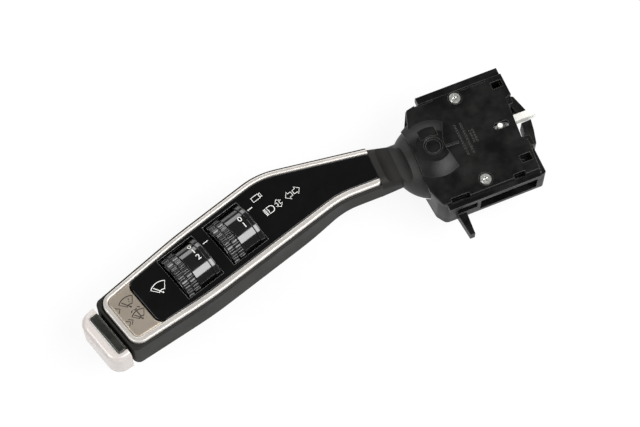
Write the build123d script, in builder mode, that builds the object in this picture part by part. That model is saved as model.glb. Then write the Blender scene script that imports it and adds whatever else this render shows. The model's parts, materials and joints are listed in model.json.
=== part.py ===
from build123d import *
import os
from math import atan2, cos, degrees, radians, sin

# Combination stalk switch for a steering column.
# Frame: Z up, out of the head's cover. X runs along the head, away from the lever.
# The origin lies on the head's flat back face, straight below the lever's pivot. Sizes in mm.

os.makedirs("parts", exist_ok=True)

# Head: heights, each set from the one below it
base_height = 5.0
floor_thickness = 2.0
pivot_rise = 6.0
core_rise = 2.4
core_drop = 3.0
roof_gap = 2.8
bridge_thickness = 1.6
cover_headroom = 2.0
cover_thickness = 2.2
hood_rise = 5.2
floor_top = base_height + floor_thickness
pivot_height = floor_top + pivot_rise
core_bottom = pivot_height - core_drop
core_top = pivot_height + core_rise
yoke_roof = core_top + roof_gap
bridge_top = yoke_roof + bridge_thickness
rim_height = bridge_top + cover_headroom
hood_top = rim_height + hood_rise

# Head: plan, measured from the lever's pivot
wall = 1.8
head_far_y = 22.4
head_near_y = -26.9
head_column_x = 41.8
head_lever_x = -8.6
cover_near_gap = 0.6
socket_depth = 12.1
socket_back = 1.4
bay_depth = 2.0
bay_y = (-8.9, 7.6)
inner_x = head_column_x - wall
inner_far_y = head_far_y - wall
inner_near_y = head_near_y + socket_depth + socket_back
bay_outer_x = head_column_x - bay_depth
bay_inner_x = bay_outer_x - wall

# Fits and gaps between pieces
running_clearance = 0.05
thrust_gap = 0.1
seam = 0.1
board_gap = 0.4
overlap = 1.0

# Pivot and yoke
pivot_stub_radius = 3.2
lever_pin_radius = 2.0
cheek_gap = 0.1
core_half_width = 6.5
cheek_thickness = 2.4
yoke_half_length = 4.5
turn_angle = 8.0

# Dome that closes the head around the lever: it reaches down to the back face
dome_radius = 17.6
dome_half_height = pivot_height
dome_shoulder = 10.5
dome_wall = 1.6
dome_gap = 0.9
hood_wall = 1.3

# Lever, neck and grip
crank_angle = 16.8
paddle_x = -61.5
paddle_y = 5.5
shell_end = 97.0
shell_wall = 2.0
shell_floor = 1.8
shell_corner = 3.0
panel_end_x = -25.8
neck_end_x = -16.2
neck_low_y = -6.3
neck_high_y = 12.5
neck_bottom = pivot_height - 7.6
neck_top = pivot_height + 5.8
neck_flare = 0.2
neck_rise_start = paddle_x - 6.5
neck_roof = 3.0
shell_rim = neck_top + 0.1

# Trim, panel and end plate on the grip
trim_inset = 1.2
trim_width = 2.45
trim_shift = 0.35
trim_seat = neck_top - 1.6
trim_top = neck_top + 1.5
trim_corner = 5.5
trim_inner_corner = 2.8
trim_ledge = 0.8
trim_ledge_width = 1.0
trim_tip = 95.3
trim_tip_gap = 0.7
panel_top = neck_top + 1.1
panel_tip = 81.2
panel_corner = 4.2
plate_gap = 0.6
plate_top = neck_top + 0.9
panel_inset = trim_inset + trim_width + seam
panel_seat = trim_seat + trim_ledge

# Dials
dial_radius = 11.5
flange_step = 0.5
barrel_radius = dial_radius - flange_step
dial_length = 17.3
dial_centres = {"wiper": 56.0, "rear": 31.8}
dial_across = 1.45
dial_floor_gap = 0.5
dial_flange = 2.0
dial_grip = 7.0
grip_wall = 1.7
window_gap = 0.6
window_side_step = 0.55
window_half_width = dial_radius - window_side_step
axle_radius = 2.0
knurl_teeth = 26
knurl_depth = 0.9
dial_height = shell_floor + dial_floor_gap + dial_radius

# End button
button_gap = 1.3
button_tip = 107.0
button_bottom = 1.6
button_top = neck_top - 1.0
button_wall = 1.8
button_centre = 0.8
button_axis_height = 9.6
button_travel = 1.0
stem_radius = 3.0

# Cancelling finger
slide_x = 31.2
slide_y = -1.06
guide_pin_radius = 1.1
slide_half_width = 6.0
track_rise = 6.0
flange_thickness = 1.5
flange_reach = 1.4
finger_height = 3.3
window_rise = 2.0
track_height = floor_top + track_rise
flange_bottom = track_height + thrust_gap
slide_top = flange_bottom + flange_thickness
finger_window_z = floor_top + window_rise

lever_dir = Vector(cos(radians(crank_angle)), sin(radians(crank_angle)), 0)
across_dir = Vector(-lever_dir.Y, lever_dir.X, 0)
paddle_origin = Vector(paddle_x, paddle_y, 0)
paddle = Plane(origin=paddle_origin, x_dir=lever_dir, z_dir=(0, 0, 1))
dial_origin = paddle_origin + across_dir * dial_across + Vector(0, 0, dial_height)
dial_plane = Plane(origin=dial_origin, x_dir=lever_dir, z_dir=(lever_dir.Y, -lever_dir.X, 0))
dial_axis = Axis(dial_origin, lever_dir)
button_origin = paddle_origin + across_dir * button_centre + Vector(0, 0, button_axis_height)


def paddle_xy(along, across):
    """Plan point on the grip: along runs towards the tip, across towards the far side."""
    point = paddle_origin - lever_dir * along + across_dir * across
    return (point.X, point.Y)


def slab(x_span, y_span, z_span, mode=Mode.ADD):
    """A straight block between two limits on each axis."""
    middle = tuple(sum(span) / 2 for span in (x_span, y_span, z_span))
    with Locations(middle):
        Box(x_span[1] - x_span[0], y_span[1] - y_span[0], z_span[1] - z_span[0], mode=mode)


def upright(radius, x, y, z_span, mode=Mode.ADD):
    """A round post or hole along Z between two heights."""
    with Locations((x, y, z_span[0])):
        Cylinder(radius, z_span[1] - z_span[0], align=(Align.CENTER, Align.CENTER, Align.MIN), mode=mode)


def paddle_rect(along_span, across_span):
    """A rectangle in a sketch on the paddle plane; the tip is towards negative local x."""
    with Locations((-sum(along_span) / 2, sum(across_span) / 2)):
        Rectangle(along_span[1] - along_span[0], across_span[1] - across_span[0])


def tip_plane(along):
    """A plane across the end button's axis; extruding by a negative amount goes to the tip."""
    return Plane(origin=button_origin - lever_dir * along, x_dir=across_dir, z_dir=lever_dir)


def finish(part, name):
    part.label = name
    export_step(part, f"parts/{name}.step")


def closed_prism(points, z_span):
    """A straight prism on a closed plan outline."""
    with BuildPart() as body:
        with BuildSketch(Plane.XY.offset(z_span[0])):
            with BuildLine():
                Polyline(*points, close=True)
            make_face()
        extrude(amount=z_span[1] - z_span[0])
    return body.part


def flattened_ball(grow):
    """The dome's form grown by an even amount: a shoulder arc and a crown arc, revolved about the pivot."""
    radius = dome_radius + grow
    half_height = dome_half_height + grow
    shoulder = dome_shoulder + grow
    centre_x = radius - shoulder
    crown = (centre_x ** 2 + half_height ** 2 - shoulder ** 2) / (2 * (half_height - shoulder))
    centre_z = half_height - crown
    join = degrees(atan2(-centre_z, centre_x))
    with BuildPart() as body:
        with BuildSketch(Plane.XZ):
            with BuildLine():
                CenterArc((0, pivot_height + centre_z), crown, join, 90 - join)
                CenterArc((centre_x, pivot_height), shoulder, -join, 2 * join)
                CenterArc((0, pivot_height - centre_z), crown, -90, 90 - join)
                Line((0, pivot_height - half_height), (0, pivot_height + half_height))
            make_face()
        revolve(axis=Axis.Z)
    return body.part


# Plan outlines of the grip

outline_reach = shell_end + 18.0
far_room = 4.65
near_room = 6.45
far_side = dial_across + dial_radius + far_room
near_side = dial_across - dial_radius - near_room
far_taper = 4.2
near_taper = 4.5
shoulder_swell = 0.6
grip_corners = [
    paddle_xy(outline_reach, far_side - far_taper),
    paddle_xy(52.0, far_side),
    paddle_xy(7.2, far_side + shoulder_swell),
    (neck_end_x + 4.0, neck_high_y - 0.6),
    (neck_end_x + 4.0, neck_low_y + 0.1),
    (-44.2, neck_low_y + 0.15),
    paddle_xy(58.0, near_side),
    paddle_xy(outline_reach, near_side + near_taper),
]
grip_radii = [1.0, 200.0, 35.0, 1.0, 1.0, 40.0, 200.0, 1.0]
cut_length = 40.0
cut_width = 60.0


def grip_face(inset, tip, tip_radius, shift=0.0):
    """The grip's plan outline moved inwards and across, from the panel's end to the given tip."""
    with BuildSketch() as face:
        with BuildLine():
            moved = [(x + across_dir.X * shift, y + across_dir.Y * shift) for x, y in grip_corners]
            FilletPolyline(*moved, radius=grip_radii, close=True)
        make_face()
        if inset > 0:
            offset(amount=-inset)
        cut = paddle_xy(tip + cut_length / 2, 0)
        with Locations(Location((cut[0], cut[1], 0), (0, 0, crank_angle))):
            Rectangle(cut_length, cut_width, mode=Mode.SUBTRACT)
        with Locations((panel_end_x + cut_length / 2, 0)):
            Rectangle(cut_length, cut_width, mode=Mode.SUBTRACT)
        if tip_radius > 0:
            tip_corners = face.vertices().sort_by(lambda v: v.center().dot(lever_dir))[:2]
            fillet(tip_corners, radius=tip_radius)
    return face.sketch


neck_corner = 5.8
neck_corner_loss = 1.6
neck_corner_shrink = 0.95
neck_swell = 1.4
neck_crown = 0.8


def neck_section(x, shrink, place=None):
    """The neck's rounded section for one place along X, drawn there or at another place."""
    share = (neck_end_x - x) / (neck_end_x - panel_end_x)
    low = neck_low_y + 0.15 * share + shrink
    high = neck_high_y + neck_swell * share - shrink
    bottom = neck_bottom - neck_flare * share + shrink
    top = neck_top + neck_crown * share - shrink * neck_roof / shell_wall
    drawn_at = x if place is None else place
    middle = (drawn_at, (low + high) / 2, (bottom + top) / 2)
    with BuildSketch(Plane(origin=middle, x_dir=(0, 1, 0), z_dir=(1, 0, 0))) as section:
        RectangleRounded(high - low, top - bottom,
                         neck_corner - neck_corner_loss * share - neck_corner_shrink * shrink)
    return section.sketch


saddle_radius = 6.0
saddle_depth = 2.1
saddle_x = neck_end_x - 1.8


def cut_saddle():
    """The shallow valley across the top of the neck, just before the dome."""
    with Locations((saddle_x, (neck_low_y + neck_high_y) / 2, neck_top - saddle_depth + saddle_radius)):
        Cylinder(saddle_radius, cut_length, rotation=(90, 0, 0), mode=Mode.SUBTRACT)


# Grip shell: a hollow paddle that narrows into the neck

screw_shank = 1.2
screw_head = 2.5
screw_head_height = 1.6
screw_room = 0.2
screw_seat = screw_head_height + screw_room
core_screw_places = [(paddle_x - 0.5, paddle_y + 0.3), (paddle_x + 10.5, paddle_y - 0.6)]
chassis_screw_places = [paddle_xy(73.5, 1.4), paddle_xy(15.0, 1.4)]
shell_boss_height = 3.6
shell_boss_radius = 4.2
ledge_drop = 1.8
ledge_width = 1.2
bottom_edge_radius = 4.5
sleeve_radius = 5.6
sleeve_clearance = 0.1
neck_door_y = (-3.5, 11.2)
neck_door_rise = 2.5
neck_door_z = (neck_bottom + neck_door_rise, trim_seat - ledge_drop)

flat_end_x = panel_end_x - 8.0
rim_round = 0.8
pocket_corner = 2.0
above = 5.0

with BuildPart() as grip_shell:
    with BuildSketch():
        add(grip_face(0, shell_end, shell_corner))
    extrude(amount=shell_rim)
    with BuildSketch(Plane.XZ):
        with BuildLine():
            Spline((neck_rise_start, 0), (flat_end_x, neck_bottom - neck_flare), tangents=((1, 0), (1, 0)))
            Polyline(
                (flat_end_x, neck_bottom - neck_flare), (panel_end_x + overlap, neck_bottom - neck_flare),
                (panel_end_x + overlap, -above), (neck_rise_start, -above), (neck_rise_start, 0),
            )
        make_face()
    extrude(amount=cut_width, both=True, mode=Mode.SUBTRACT)
    lower_edges = [
        edge for edge in grip_shell.edges()
        if edge.bounding_box().max.Z < neck_bottom and edge.bounding_box().size.X > 0.1
    ]
    fillet(lower_edges, radius=bottom_edge_radius)
    upper_edges = [
        edge for edge in grip_shell.edges()
        if edge.bounding_box().min.Z > shell_rim - 0.01 and edge.bounding_box().size.X > 0.1
    ]
    fillet(upper_edges, radius=rim_round)
    add(neck_section(panel_end_x, 0))
    add(neck_section(neck_end_x, 0))
    loft()
    with BuildSketch(Plane.XY.offset(trim_seat)):
        add(grip_face(trim_inset - seam, trim_tip + trim_tip_gap, trim_corner))
    extrude(amount=above, mode=Mode.SUBTRACT)
    with BuildSketch(Plane.XY.offset(trim_seat - ledge_drop)):
        add(grip_face(shell_wall + ledge_width, shell_end - shell_wall - ledge_width, 0))
    extrude(amount=above, mode=Mode.SUBTRACT)
    with BuildSketch(Plane.XY.offset(neck_bottom + shell_wall)):
        add(grip_face(shell_wall, shell_end - shell_wall, pocket_corner))
    extrude(amount=trim_seat - ledge_drop - neck_bottom - shell_wall, mode=Mode.SUBTRACT)
    with BuildSketch(Plane.XY.offset(shell_floor)):
        add(grip_face(bottom_edge_radius, shell_end - shell_wall, pocket_corner))
        with Locations((neck_rise_start + cut_length, 0)):
            Rectangle(2 * cut_length, 2 * cut_length, mode=Mode.SUBTRACT)
    extrude(amount=neck_bottom + shell_wall - shell_floor, mode=Mode.SUBTRACT)
    add(neck_section(panel_end_x, shell_wall))
    add(neck_section(neck_end_x, shell_wall))
    loft(mode=Mode.SUBTRACT)
    slab((panel_end_x - seam, panel_end_x + shell_wall), neck_door_y, neck_door_z, mode=Mode.SUBTRACT)
    cut_saddle()
    for x, y in chassis_screw_places:
        upright(shell_boss_radius, x, y, (shell_floor - 0.5, shell_boss_height))
        upright(screw_head + screw_room, x, y, (-overlap, screw_seat), mode=Mode.SUBTRACT)
        upright(screw_shank + running_clearance, x, y, (0, shell_boss_height + overlap), mode=Mode.SUBTRACT)
    with BuildSketch(tip_plane(shell_end)):
        Circle(sleeve_radius + sleeve_clearance)
    extrude(amount=shell_wall + overlap, mode=Mode.SUBTRACT)
finish(grip_shell.part, "grip_shell")


# Trim, face panel and end plate

trim_outer = (trim_inset, trim_tip, trim_corner)
trim_inner = (trim_inset + trim_width, trim_tip - trim_width, trim_inner_corner, trim_shift)
ledge_inner = (trim_inset + trim_width + trim_ledge_width, trim_tip - trim_width - trim_ledge_width,
               trim_inner_corner - trim_ledge_width, trim_shift)
trim_end_round = 2.0
trim_round = 0.7
panel_round = 0.5
panel_neck_corner = 1.6
window_spans = {
    name: (centre - dial_length / 2 - window_gap, centre + dial_length / 2 + window_gap)
    for name, centre in dial_centres.items()
}
window_across = (dial_across - window_half_width, dial_across + window_half_width)


def band(outer, inner, z_from, height):
    """A flat band between two plan outlines of the grip, open at the neck end."""
    with BuildPart() as ring:
        with BuildSketch(Plane.XY.offset(z_from)):
            add(grip_face(*outer))
            add(grip_face(*inner), mode=Mode.SUBTRACT)
        extrude(amount=height)
    return ring.part


with BuildPart() as trim_bezel:
    add(band(trim_outer, trim_inner, trim_seat, trim_top - trim_seat))
    near_end = trim_bezel.edges().filter_by(Axis.Z).filter_by(lambda e: e.center().X > panel_end_x - 0.01)
    fillet(near_end.sort_by(Axis.Y)[0], radius=trim_end_round)
    rim_edges = trim_bezel.edges().group_by(Axis.Z)[-1].filter_by(lambda e: e.center().X < panel_end_x - 0.2)
    fillet(rim_edges, radius=trim_round)
    add(band(trim_inner, ledge_inner, trim_seat, trim_ledge))
    with BuildSketch(paddle.offset(trim_seat - overlap)):
        for span in window_spans.values():
            paddle_rect(span, (window_across[0] - board_gap, window_across[1] + board_gap))
    extrude(amount=overlap + trim_ledge, mode=Mode.SUBTRACT)
finish(trim_bezel.part, "trim_bezel")

with BuildPart() as face_panel:
    with BuildSketch(Plane.XY.offset(panel_seat)):
        add(grip_face(panel_inset, panel_tip, panel_corner, trim_shift))
    extrude(amount=panel_top - panel_seat)
    neck_corners = face_panel.edges().filter_by(Axis.Z).filter_by(lambda e: e.center().X > panel_end_x - 0.01)
    fillet(neck_corners, radius=panel_neck_corner)
    fillet(face_panel.edges().group_by(Axis.Z)[-1], radius=panel_round)
    with BuildSketch(paddle.offset(panel_seat)):
        for span in window_spans.values():
            paddle_rect(span, window_across)
    extrude(amount=above, mode=Mode.SUBTRACT)
finish(face_panel.part, "face_panel")

with BuildPart() as end_plate:
    with BuildSketch(Plane.XY.offset(panel_seat)):
        add(grip_face(panel_inset, trim_tip - trim_width - seam, trim_inner_corner - seam, trim_shift))
        add(grip_face(panel_inset - plate_gap, panel_tip + plate_gap, panel_corner + plate_gap, trim_shift),
            mode=Mode.SUBTRACT)
    extrude(amount=plate_top - panel_seat)
finish(end_plate.part, "end_plate")


# Chassis that carries the dials, the board and the push switch inside the grip

frame_bottom = neck_bottom + shell_wall + screw_room
frame_top = trim_seat - ledge_drop - board_gap
rail_thickness = 1.0
rail_gap = 0.4
window_wall_gap = 0.8
crosswall = 1.8
hub_gap = 0.3
deck_top = core_bottom
deck_thickness = 1.6
board_thickness = 1.6
switch_size = 6.0
switch_depth = 3.5
switch_front = 86.0
switch_nub = 0.6
front_deck_end = switch_front - switch_depth
stem_end = switch_front + switch_nub + button_travel + board_gap
far_rail = (dial_across + dial_radius + rail_gap, dial_across + dial_radius + rail_gap + rail_thickness)
near_rail = (dial_across - dial_radius - rail_gap - rail_thickness, dial_across - dial_radius - rail_gap)
mid_wall = sum(dial_centres.values()) / 2
front_wall = window_spans["wiper"][1] + crosswall / 2 + window_wall_gap
rear_wall = window_spans["rear"][0] - crosswall / 2 - window_wall_gap
crosswalls = {
    name: (place - crosswall / 2, place + crosswall / 2)
    for name, place in {"front": front_wall, "middle": mid_wall, "rear": rear_wall}.items()
}

with BuildPart() as dial_chassis:
    with BuildSketch(paddle.offset(frame_bottom)):
        for rail in (far_rail, near_rail):
            paddle_rect((crosswalls["rear"][0], crosswalls["front"][1]), rail)
        for span in crosswalls.values():
            paddle_rect(span, (near_rail[0], far_rail[1]))
    extrude(amount=frame_top - frame_bottom)
    with BuildSketch(paddle.offset(deck_top - deck_thickness)):
        paddle_rect((-10.0, crosswalls["rear"][0] + 1), (-9.0, 5.5))
        paddle_rect((-1.0, crosswalls["rear"][0] + 1), (-9.0, 9.5))
        paddle_rect((crosswalls["front"][1] - 1, front_deck_end), (-9.0, 11.0))
    extrude(amount=deck_thickness)
    with BuildSketch(paddle.offset(button_axis_height - switch_size / 2 - 0.4)):
        paddle_rect((front_deck_end - 2.0, front_deck_end), (-6.0, 8.0))
    extrude(amount=switch_size + 0.8)
    for x, y in chassis_screw_places:
        upright(3.0, x, y, (shell_boss_height, deck_top))
        upright(screw_shank, x, y, (shell_boss_height, deck_top - overlap), mode=Mode.SUBTRACT)
    for x, y in core_screw_places:
        upright(screw_shank, x, y, (deck_top - deck_thickness, deck_top), mode=Mode.SUBTRACT)
    with BuildSketch(Plane(origin=dial_origin, x_dir=across_dir, z_dir=lever_dir)):
        Circle(axle_radius)
    extrude(amount=crosswalls["front"][1], dir=-lever_dir, mode=Mode.SUBTRACT)
finish(dial_chassis.part, "dial_chassis")

axle_bevel = 0.3

with BuildPart() as dial_axle:
    axle_start = dial_origin - lever_dir * crosswalls["rear"][0]
    with BuildSketch(Plane(origin=axle_start, x_dir=across_dir, z_dir=-lever_dir)):
        Circle(axle_radius)
    extrude(amount=crosswalls["front"][1] - crosswalls["rear"][0])
    chamfer(dial_axle.edges(), length=axle_bevel)
finish(dial_axle.part, "dial_axle")


# Dials: a hollow barrel with a hub, and a knurled grip ring pressed on to it


def dial_profile(centre, spans):
    """A closed half section of a dial: stations along the axle, each with a radius from and to."""
    with BuildPart() as drum:
        for start, end, inner, outer in spans:
            with BuildSketch(dial_plane):
                with Locations((-centre - dial_length / 2 + (start + end) / 2, (inner + outer) / 2)):
                    Rectangle(end - start, outer - inner)
            revolve(axis=dial_axis)
    return drum.part


hub_wall = 2.0
barrel_wall = 2.8
seat_wall = 1.6
web_half = 1.0
knurl_rows = 2
knurl_row_gap = 0.4
tooth_shares = ((0.08, 0), (0.30, knurl_depth), (0.70, knurl_depth), (0.92, 0))


def toothed_ring(inner_radius, phase):
    """A ring outline with flat topped teeth round it, turned by a share of one tooth."""
    pitch = 360.0 / knurl_teeth
    points = []
    for i in range(knurl_teeth):
        for share, height in tooth_shares:
            radius = dial_radius - knurl_depth + height
            angle = radians((i + phase + share) * pitch)
            points.append((radius * cos(angle), radius * sin(angle)))
    with BuildSketch() as ring:
        with BuildLine():
            Polyline(*points, close=True)
        make_face()
        Circle(inner_radius, mode=Mode.SUBTRACT)
    return ring.sketch


def make_dial(name, centre):
    """Local stations run from the knurled end, towards the tip, to the flange near the neck."""
    seat_radius = dial_radius - grip_wall
    bore = axle_radius + running_clearance
    hub_radius = axle_radius + hub_wall
    flange_start = dial_length - dial_flange
    middle = dial_length / 2
    tip_side = crosswalls["front"][0] if name == "wiper" else crosswalls["middle"][0]
    neck_side = crosswalls["middle"][1] if name == "wiper" else crosswalls["rear"][1]
    hub_start = centre + dial_length / 2 - tip_side + hub_gap
    hub_end = centre + dial_length / 2 - neck_side - hub_gap
    with BuildPart() as barrel:
        add(dial_profile(centre, [
            (0, dial_grip, seat_radius - seat_wall, seat_radius),
            (dial_grip, flange_start, barrel_radius - barrel_wall, barrel_radius),
            (flange_start, dial_length, barrel_radius - barrel_wall, dial_radius),
            (middle - web_half, middle + web_half, hub_radius - web_half, barrel_radius - hub_wall),
            (hub_start, hub_end, bore, hub_radius),
        ]))
    finish(barrel.part, f"{name}_dial_barrel")
    row_length = (dial_grip - (knurl_rows + 1) * knurl_row_gap) / knurl_rows
    with BuildPart() as grip:
        add(dial_profile(centre, [(knurl_row_gap, dial_grip - seam, seat_radius, dial_radius - knurl_depth)]))
        for row in range(knurl_rows):
            start = knurl_row_gap + row * (row_length + knurl_row_gap)
            row_origin = dial_origin - lever_dir * (centre + dial_length / 2 - start)
            with BuildSketch(Plane(origin=row_origin, x_dir=across_dir, z_dir=lever_dir)):
                add(toothed_ring(seat_radius, row / knurl_rows))
            extrude(amount=row_length)
    finish(grip.part, f"{name}_dial_grip")


for dial_name, dial_centre in dial_centres.items():
    make_dial(dial_name, dial_centre)


# Board, push switch and screws inside the grip

chip_height = 1.0
lever_board_span = (2.4, 17.0)
lever_board_across = (-8.8, -3.2)
lever_chips = (3.5, 9.0)
lever_chip_length = 4.0
chip_margin = 1.0
switch_nub_radius = 1.5

with BuildPart() as lever_board:
    with BuildSketch(paddle.offset(deck_top)):
        paddle_rect(lever_board_span, lever_board_across)
    extrude(amount=board_thickness)
    with BuildSketch(paddle.offset(deck_top + board_thickness)):
        for start in lever_chips:
            paddle_rect((start, start + lever_chip_length),
                        (lever_board_across[0] + chip_margin, lever_board_across[1] - chip_margin))
    extrude(amount=chip_height)
finish(lever_board.part, "lever_board")

with BuildPart() as push_switch:
    with BuildSketch(tip_plane(front_deck_end)):
        Rectangle(switch_size, switch_size)
    extrude(amount=-switch_depth)
    with BuildSketch(tip_plane(switch_front)):
        Circle(switch_nub_radius)
    extrude(amount=-switch_nub)
finish(push_switch.part, "push_switch")


head_bevel = 0.45
recess_depth = 0.8
recess_length = 2.6
recess_width = 0.6


def screw(x, y, top, length, head_up=True):
    """A pan head screw with a cross recess; top is the underside of its head."""
    with BuildPart() as body:
        direction = 1 if head_up else -1
        with BuildSketch(Plane.XY.offset(top)):
            with Locations((x, y)):
                Circle(screw_head)
        extrude(amount=direction * screw_head_height)
        outer = body.faces().sort_by(Axis.Z)[-1 if head_up else 0]
        chamfer(outer.edges(), length=head_bevel)
        with BuildSketch(Plane.XY.offset(top + direction * (screw_head_height - recess_depth))):
            with Locations((x, y)):
                Rectangle(recess_length, recess_width)
                Rectangle(recess_width, recess_length)
        extrude(amount=direction * 2 * recess_depth, mode=Mode.SUBTRACT)
        with BuildSketch(Plane.XY.offset(top)):
            with Locations((x, y)):
                Circle(screw_shank)
        extrude(amount=-direction * length)
    return body.part


deck_screw_margin = 2.0

with BuildPart() as shell_screws:
    for x, y in chassis_screw_places:
        add(screw(x, y, screw_seat, deck_top - screw_seat - deck_screw_margin, head_up=False))
finish(shell_screws.part, "shell_screws")

with BuildPart() as core_screws:
    for x, y in core_screw_places:
        add(screw(x, y, core_top, core_top - deck_top + deck_thickness - screw_room))
finish(core_screws.part, "core_screws")


# End button: cap, inlay, stem, guide and return spring

guide_flange = 3.0
guide_reach = 8.0
guide_nose = 3.5
spring_bore = 4.6
inlay_depth = 1.2
inlay_length = 2.9
inlay_span = (-9.9, 10.6)
button_side_gap = 0.4
button_corner = 6.0
button_inner_corner = 4.2
button_upper_round = 2.2
button_lower_round = 3.0
guide_size = (20.0, 11.0)
guide_corner = 2.0
spring_radius = 4.0
spring_wire = 0.4
spring_turns = 5
small_bevel = 0.3
button_back = shell_end + button_gap
button_inner = button_tip - button_wall


def coil(origin, direction, radius, wire, length, turns):
    """A helical compression spring from its origin along a direction."""
    with BuildPart() as spring:
        with BuildLine() as path:
            free_length = length - 2 * wire
            start = origin + direction * wire
            Helix(free_length / turns, free_length, radius, center=start, direction=direction)
        with BuildSketch(Plane(origin=path.line @ 0, z_dir=path.line % 0)):
            RegularPolygon(wire, 6)
        sweep(path=path.line, is_frenet=True)
    return spring.part


def cap_body(inset, tip_radius, bottom, top):
    with BuildPart() as body:
        with BuildSketch(Plane.XY.offset(bottom)):
            add(grip_face(button_side_gap + inset, button_tip - inset, tip_radius))
            add(grip_face(0, button_back, 0), mode=Mode.SUBTRACT)
        extrude(amount=top - bottom)
    return body.part


def outer_rim(body, height):
    """The cap's edges at one height, apart from the straight one at its back."""
    level = body.edges().filter_by_position(Axis.Z, height - 0.01, height + 0.01)
    return [edge for edge in level if (edge.center() - paddle_origin).dot(lever_dir) < -button_back - 0.2]


with BuildPart() as end_button_cap:
    add(cap_body(0, button_corner, button_bottom, button_top))
    fillet(outer_rim(end_button_cap, button_top), radius=button_upper_round)
    fillet(outer_rim(end_button_cap, button_bottom), radius=button_lower_round)
    add(cap_body(button_wall, button_inner_corner, button_bottom + button_wall, button_top - button_wall),
        mode=Mode.SUBTRACT)
    with BuildSketch(paddle.offset(button_top - inlay_depth)):
        paddle_rect((button_back - overlap, button_back + inlay_length), inlay_span)
    extrude(amount=above, mode=Mode.SUBTRACT)
finish(end_button_cap.part, "end_button_cap")

with BuildPart() as end_button_inlay:
    with BuildSketch(paddle.offset(button_top - inlay_depth)):
        paddle_rect((button_back, button_back + inlay_length - seam),
                    (inlay_span[0] + seam, inlay_span[1] - seam))
    extrude(amount=inlay_depth - 2 * seam)
    chamfer(end_button_inlay.edges().group_by(Axis.Z)[-1], length=small_bevel)
finish(end_button_inlay.part, "end_button_inlay")

with BuildPart() as button_stem:
    with BuildSketch(tip_plane(stem_end)):
        Circle(stem_radius)
    extrude(amount=-(button_inner - stem_end))
    chamfer(button_stem.faces().sort_by(Axis(button_origin, lever_dir))[-1].edges(), length=small_bevel)
finish(button_stem.part, "button_stem")

with BuildPart() as button_guide:
    with BuildSketch(tip_plane(shell_end)):
        RectangleRounded(*guide_size, guide_corner)
    extrude(amount=-guide_flange)
    with BuildSketch(tip_plane(shell_end)):
        Circle(sleeve_radius)
    extrude(amount=guide_reach)
    with BuildSketch(tip_plane(shell_end + guide_flange)):
        Circle(spring_bore)
    extrude(amount=guide_flange + guide_reach - guide_nose, mode=Mode.SUBTRACT)
    with BuildSketch(tip_plane(shell_end)):
        Circle(stem_radius + running_clearance)
    extrude(amount=guide_reach + overlap, mode=Mode.SUBTRACT)
finish(button_guide.part, "button_guide")

spring_seat = shell_end - guide_reach + guide_nose
button_spring = coil(button_origin - lever_dir * spring_seat, -lever_dir, spring_radius, spring_wire,
                     button_inner - spring_seat, spring_turns)
finish(button_spring, "button_spring")


# Lever core: the bar that carries the grip, its pivot and the detent plunger's barrel

core_end_x = paddle_x - 8.5
pin_reach_y = 20.0
core_nose = 8.0
core_waist_x = -12.0
core_waist_y = (-1.8, 5.4)
core_tail_y = (3.2, 10.4)
barrel_end = 12.5
plunger_sleeve = 1.6
yoke_front_gap = 0.5
core_front_x = yoke_half_length + yoke_front_gap
plunger_floor = yoke_half_length + 1.0
detent_spring_radius = 1.6
fine_wire = 0.3
detent_turns = 3
plunger_radius = 2.2
plunger_back = 8.6
detent_radius = 20.0
detent_thickness = 3.0
detent_gap = 0.4
notch_depth = 1.0
plunger_tip = detent_radius - detent_gap

with BuildPart() as lever_core:
    with BuildSketch(Plane.XY.offset(core_bottom)):
        with BuildLine():
            Polyline(
                (core_front_x, core_half_width), (-core_nose, core_half_width),
                (core_waist_x, core_waist_y[1]), (core_end_x, core_tail_y[1]),
                (core_end_x, core_tail_y[0]), (core_waist_x, core_waist_y[0]),
                (-core_nose, -core_half_width), (core_front_x, -core_half_width), close=True,
            )
        make_face()
    extrude(amount=core_top - core_bottom)
    barrel_plane = Plane(origin=(yoke_half_length, 0, pivot_height), x_dir=(0, 1, 0), z_dir=(1, 0, 0))
    with BuildSketch(barrel_plane):
        Circle(plunger_radius + plunger_sleeve)
    extrude(amount=barrel_end - yoke_half_length)
    with BuildSketch(Plane(origin=(plunger_floor, 0, pivot_height), x_dir=(0, 1, 0), z_dir=(1, 0, 0))):
        Circle(plunger_radius + running_clearance)
    extrude(amount=barrel_end, mode=Mode.SUBTRACT)
    with BuildSketch(Plane.XZ):
        with Locations((0, pivot_height)):
            Circle(lever_pin_radius + running_clearance)
    extrude(amount=pin_reach_y, both=True, mode=Mode.SUBTRACT)
    for x, y in core_screw_places:
        upright(screw_shank, x, y, (core_bottom - overlap, core_top + overlap), mode=Mode.SUBTRACT)
finish(lever_core.part, "lever_core")

with BuildPart() as detent_plunger:
    with BuildSketch(Plane.XZ):
        with BuildLine():
            nose_start = plunger_tip - plunger_radius
            plunger_edge = pivot_height + plunger_radius
            Polyline((plunger_back, pivot_height), (plunger_back, plunger_edge), (nose_start, plunger_edge))
            RadiusArc((nose_start, plunger_edge), (plunger_tip, pivot_height), plunger_radius)
            Line((plunger_tip, pivot_height), (plunger_back, pivot_height))
        make_face()
    revolve(axis=Axis((0, 0, pivot_height), (1, 0, 0)))
finish(detent_plunger.part, "detent_plunger")

detent_spring = coil(Vector(plunger_floor, 0, pivot_height), Vector(1, 0, 0), detent_spring_radius, fine_wire,
                     plunger_back - plunger_floor, detent_turns)
finish(detent_spring, "detent_spring")


# Dome shroud around the pivot, with the collar that meets the neck

dome_rear = -8.0
dome_cheek_rear = -2.5
dome_gate = 9.5
collar_end_x = -11.5

collar_length = 7.0
collar_bore_length = 11.0
collar_start = neck_end_x - 2.0
far_off = 60.0

with BuildPart() as dome_space:
    add(flattened_ball(-dome_wall))
    slab((-far_off, collar_end_x), (-far_off, far_off), (neck_bottom - overlap, far_off), mode=Mode.SUBTRACT)

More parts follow.
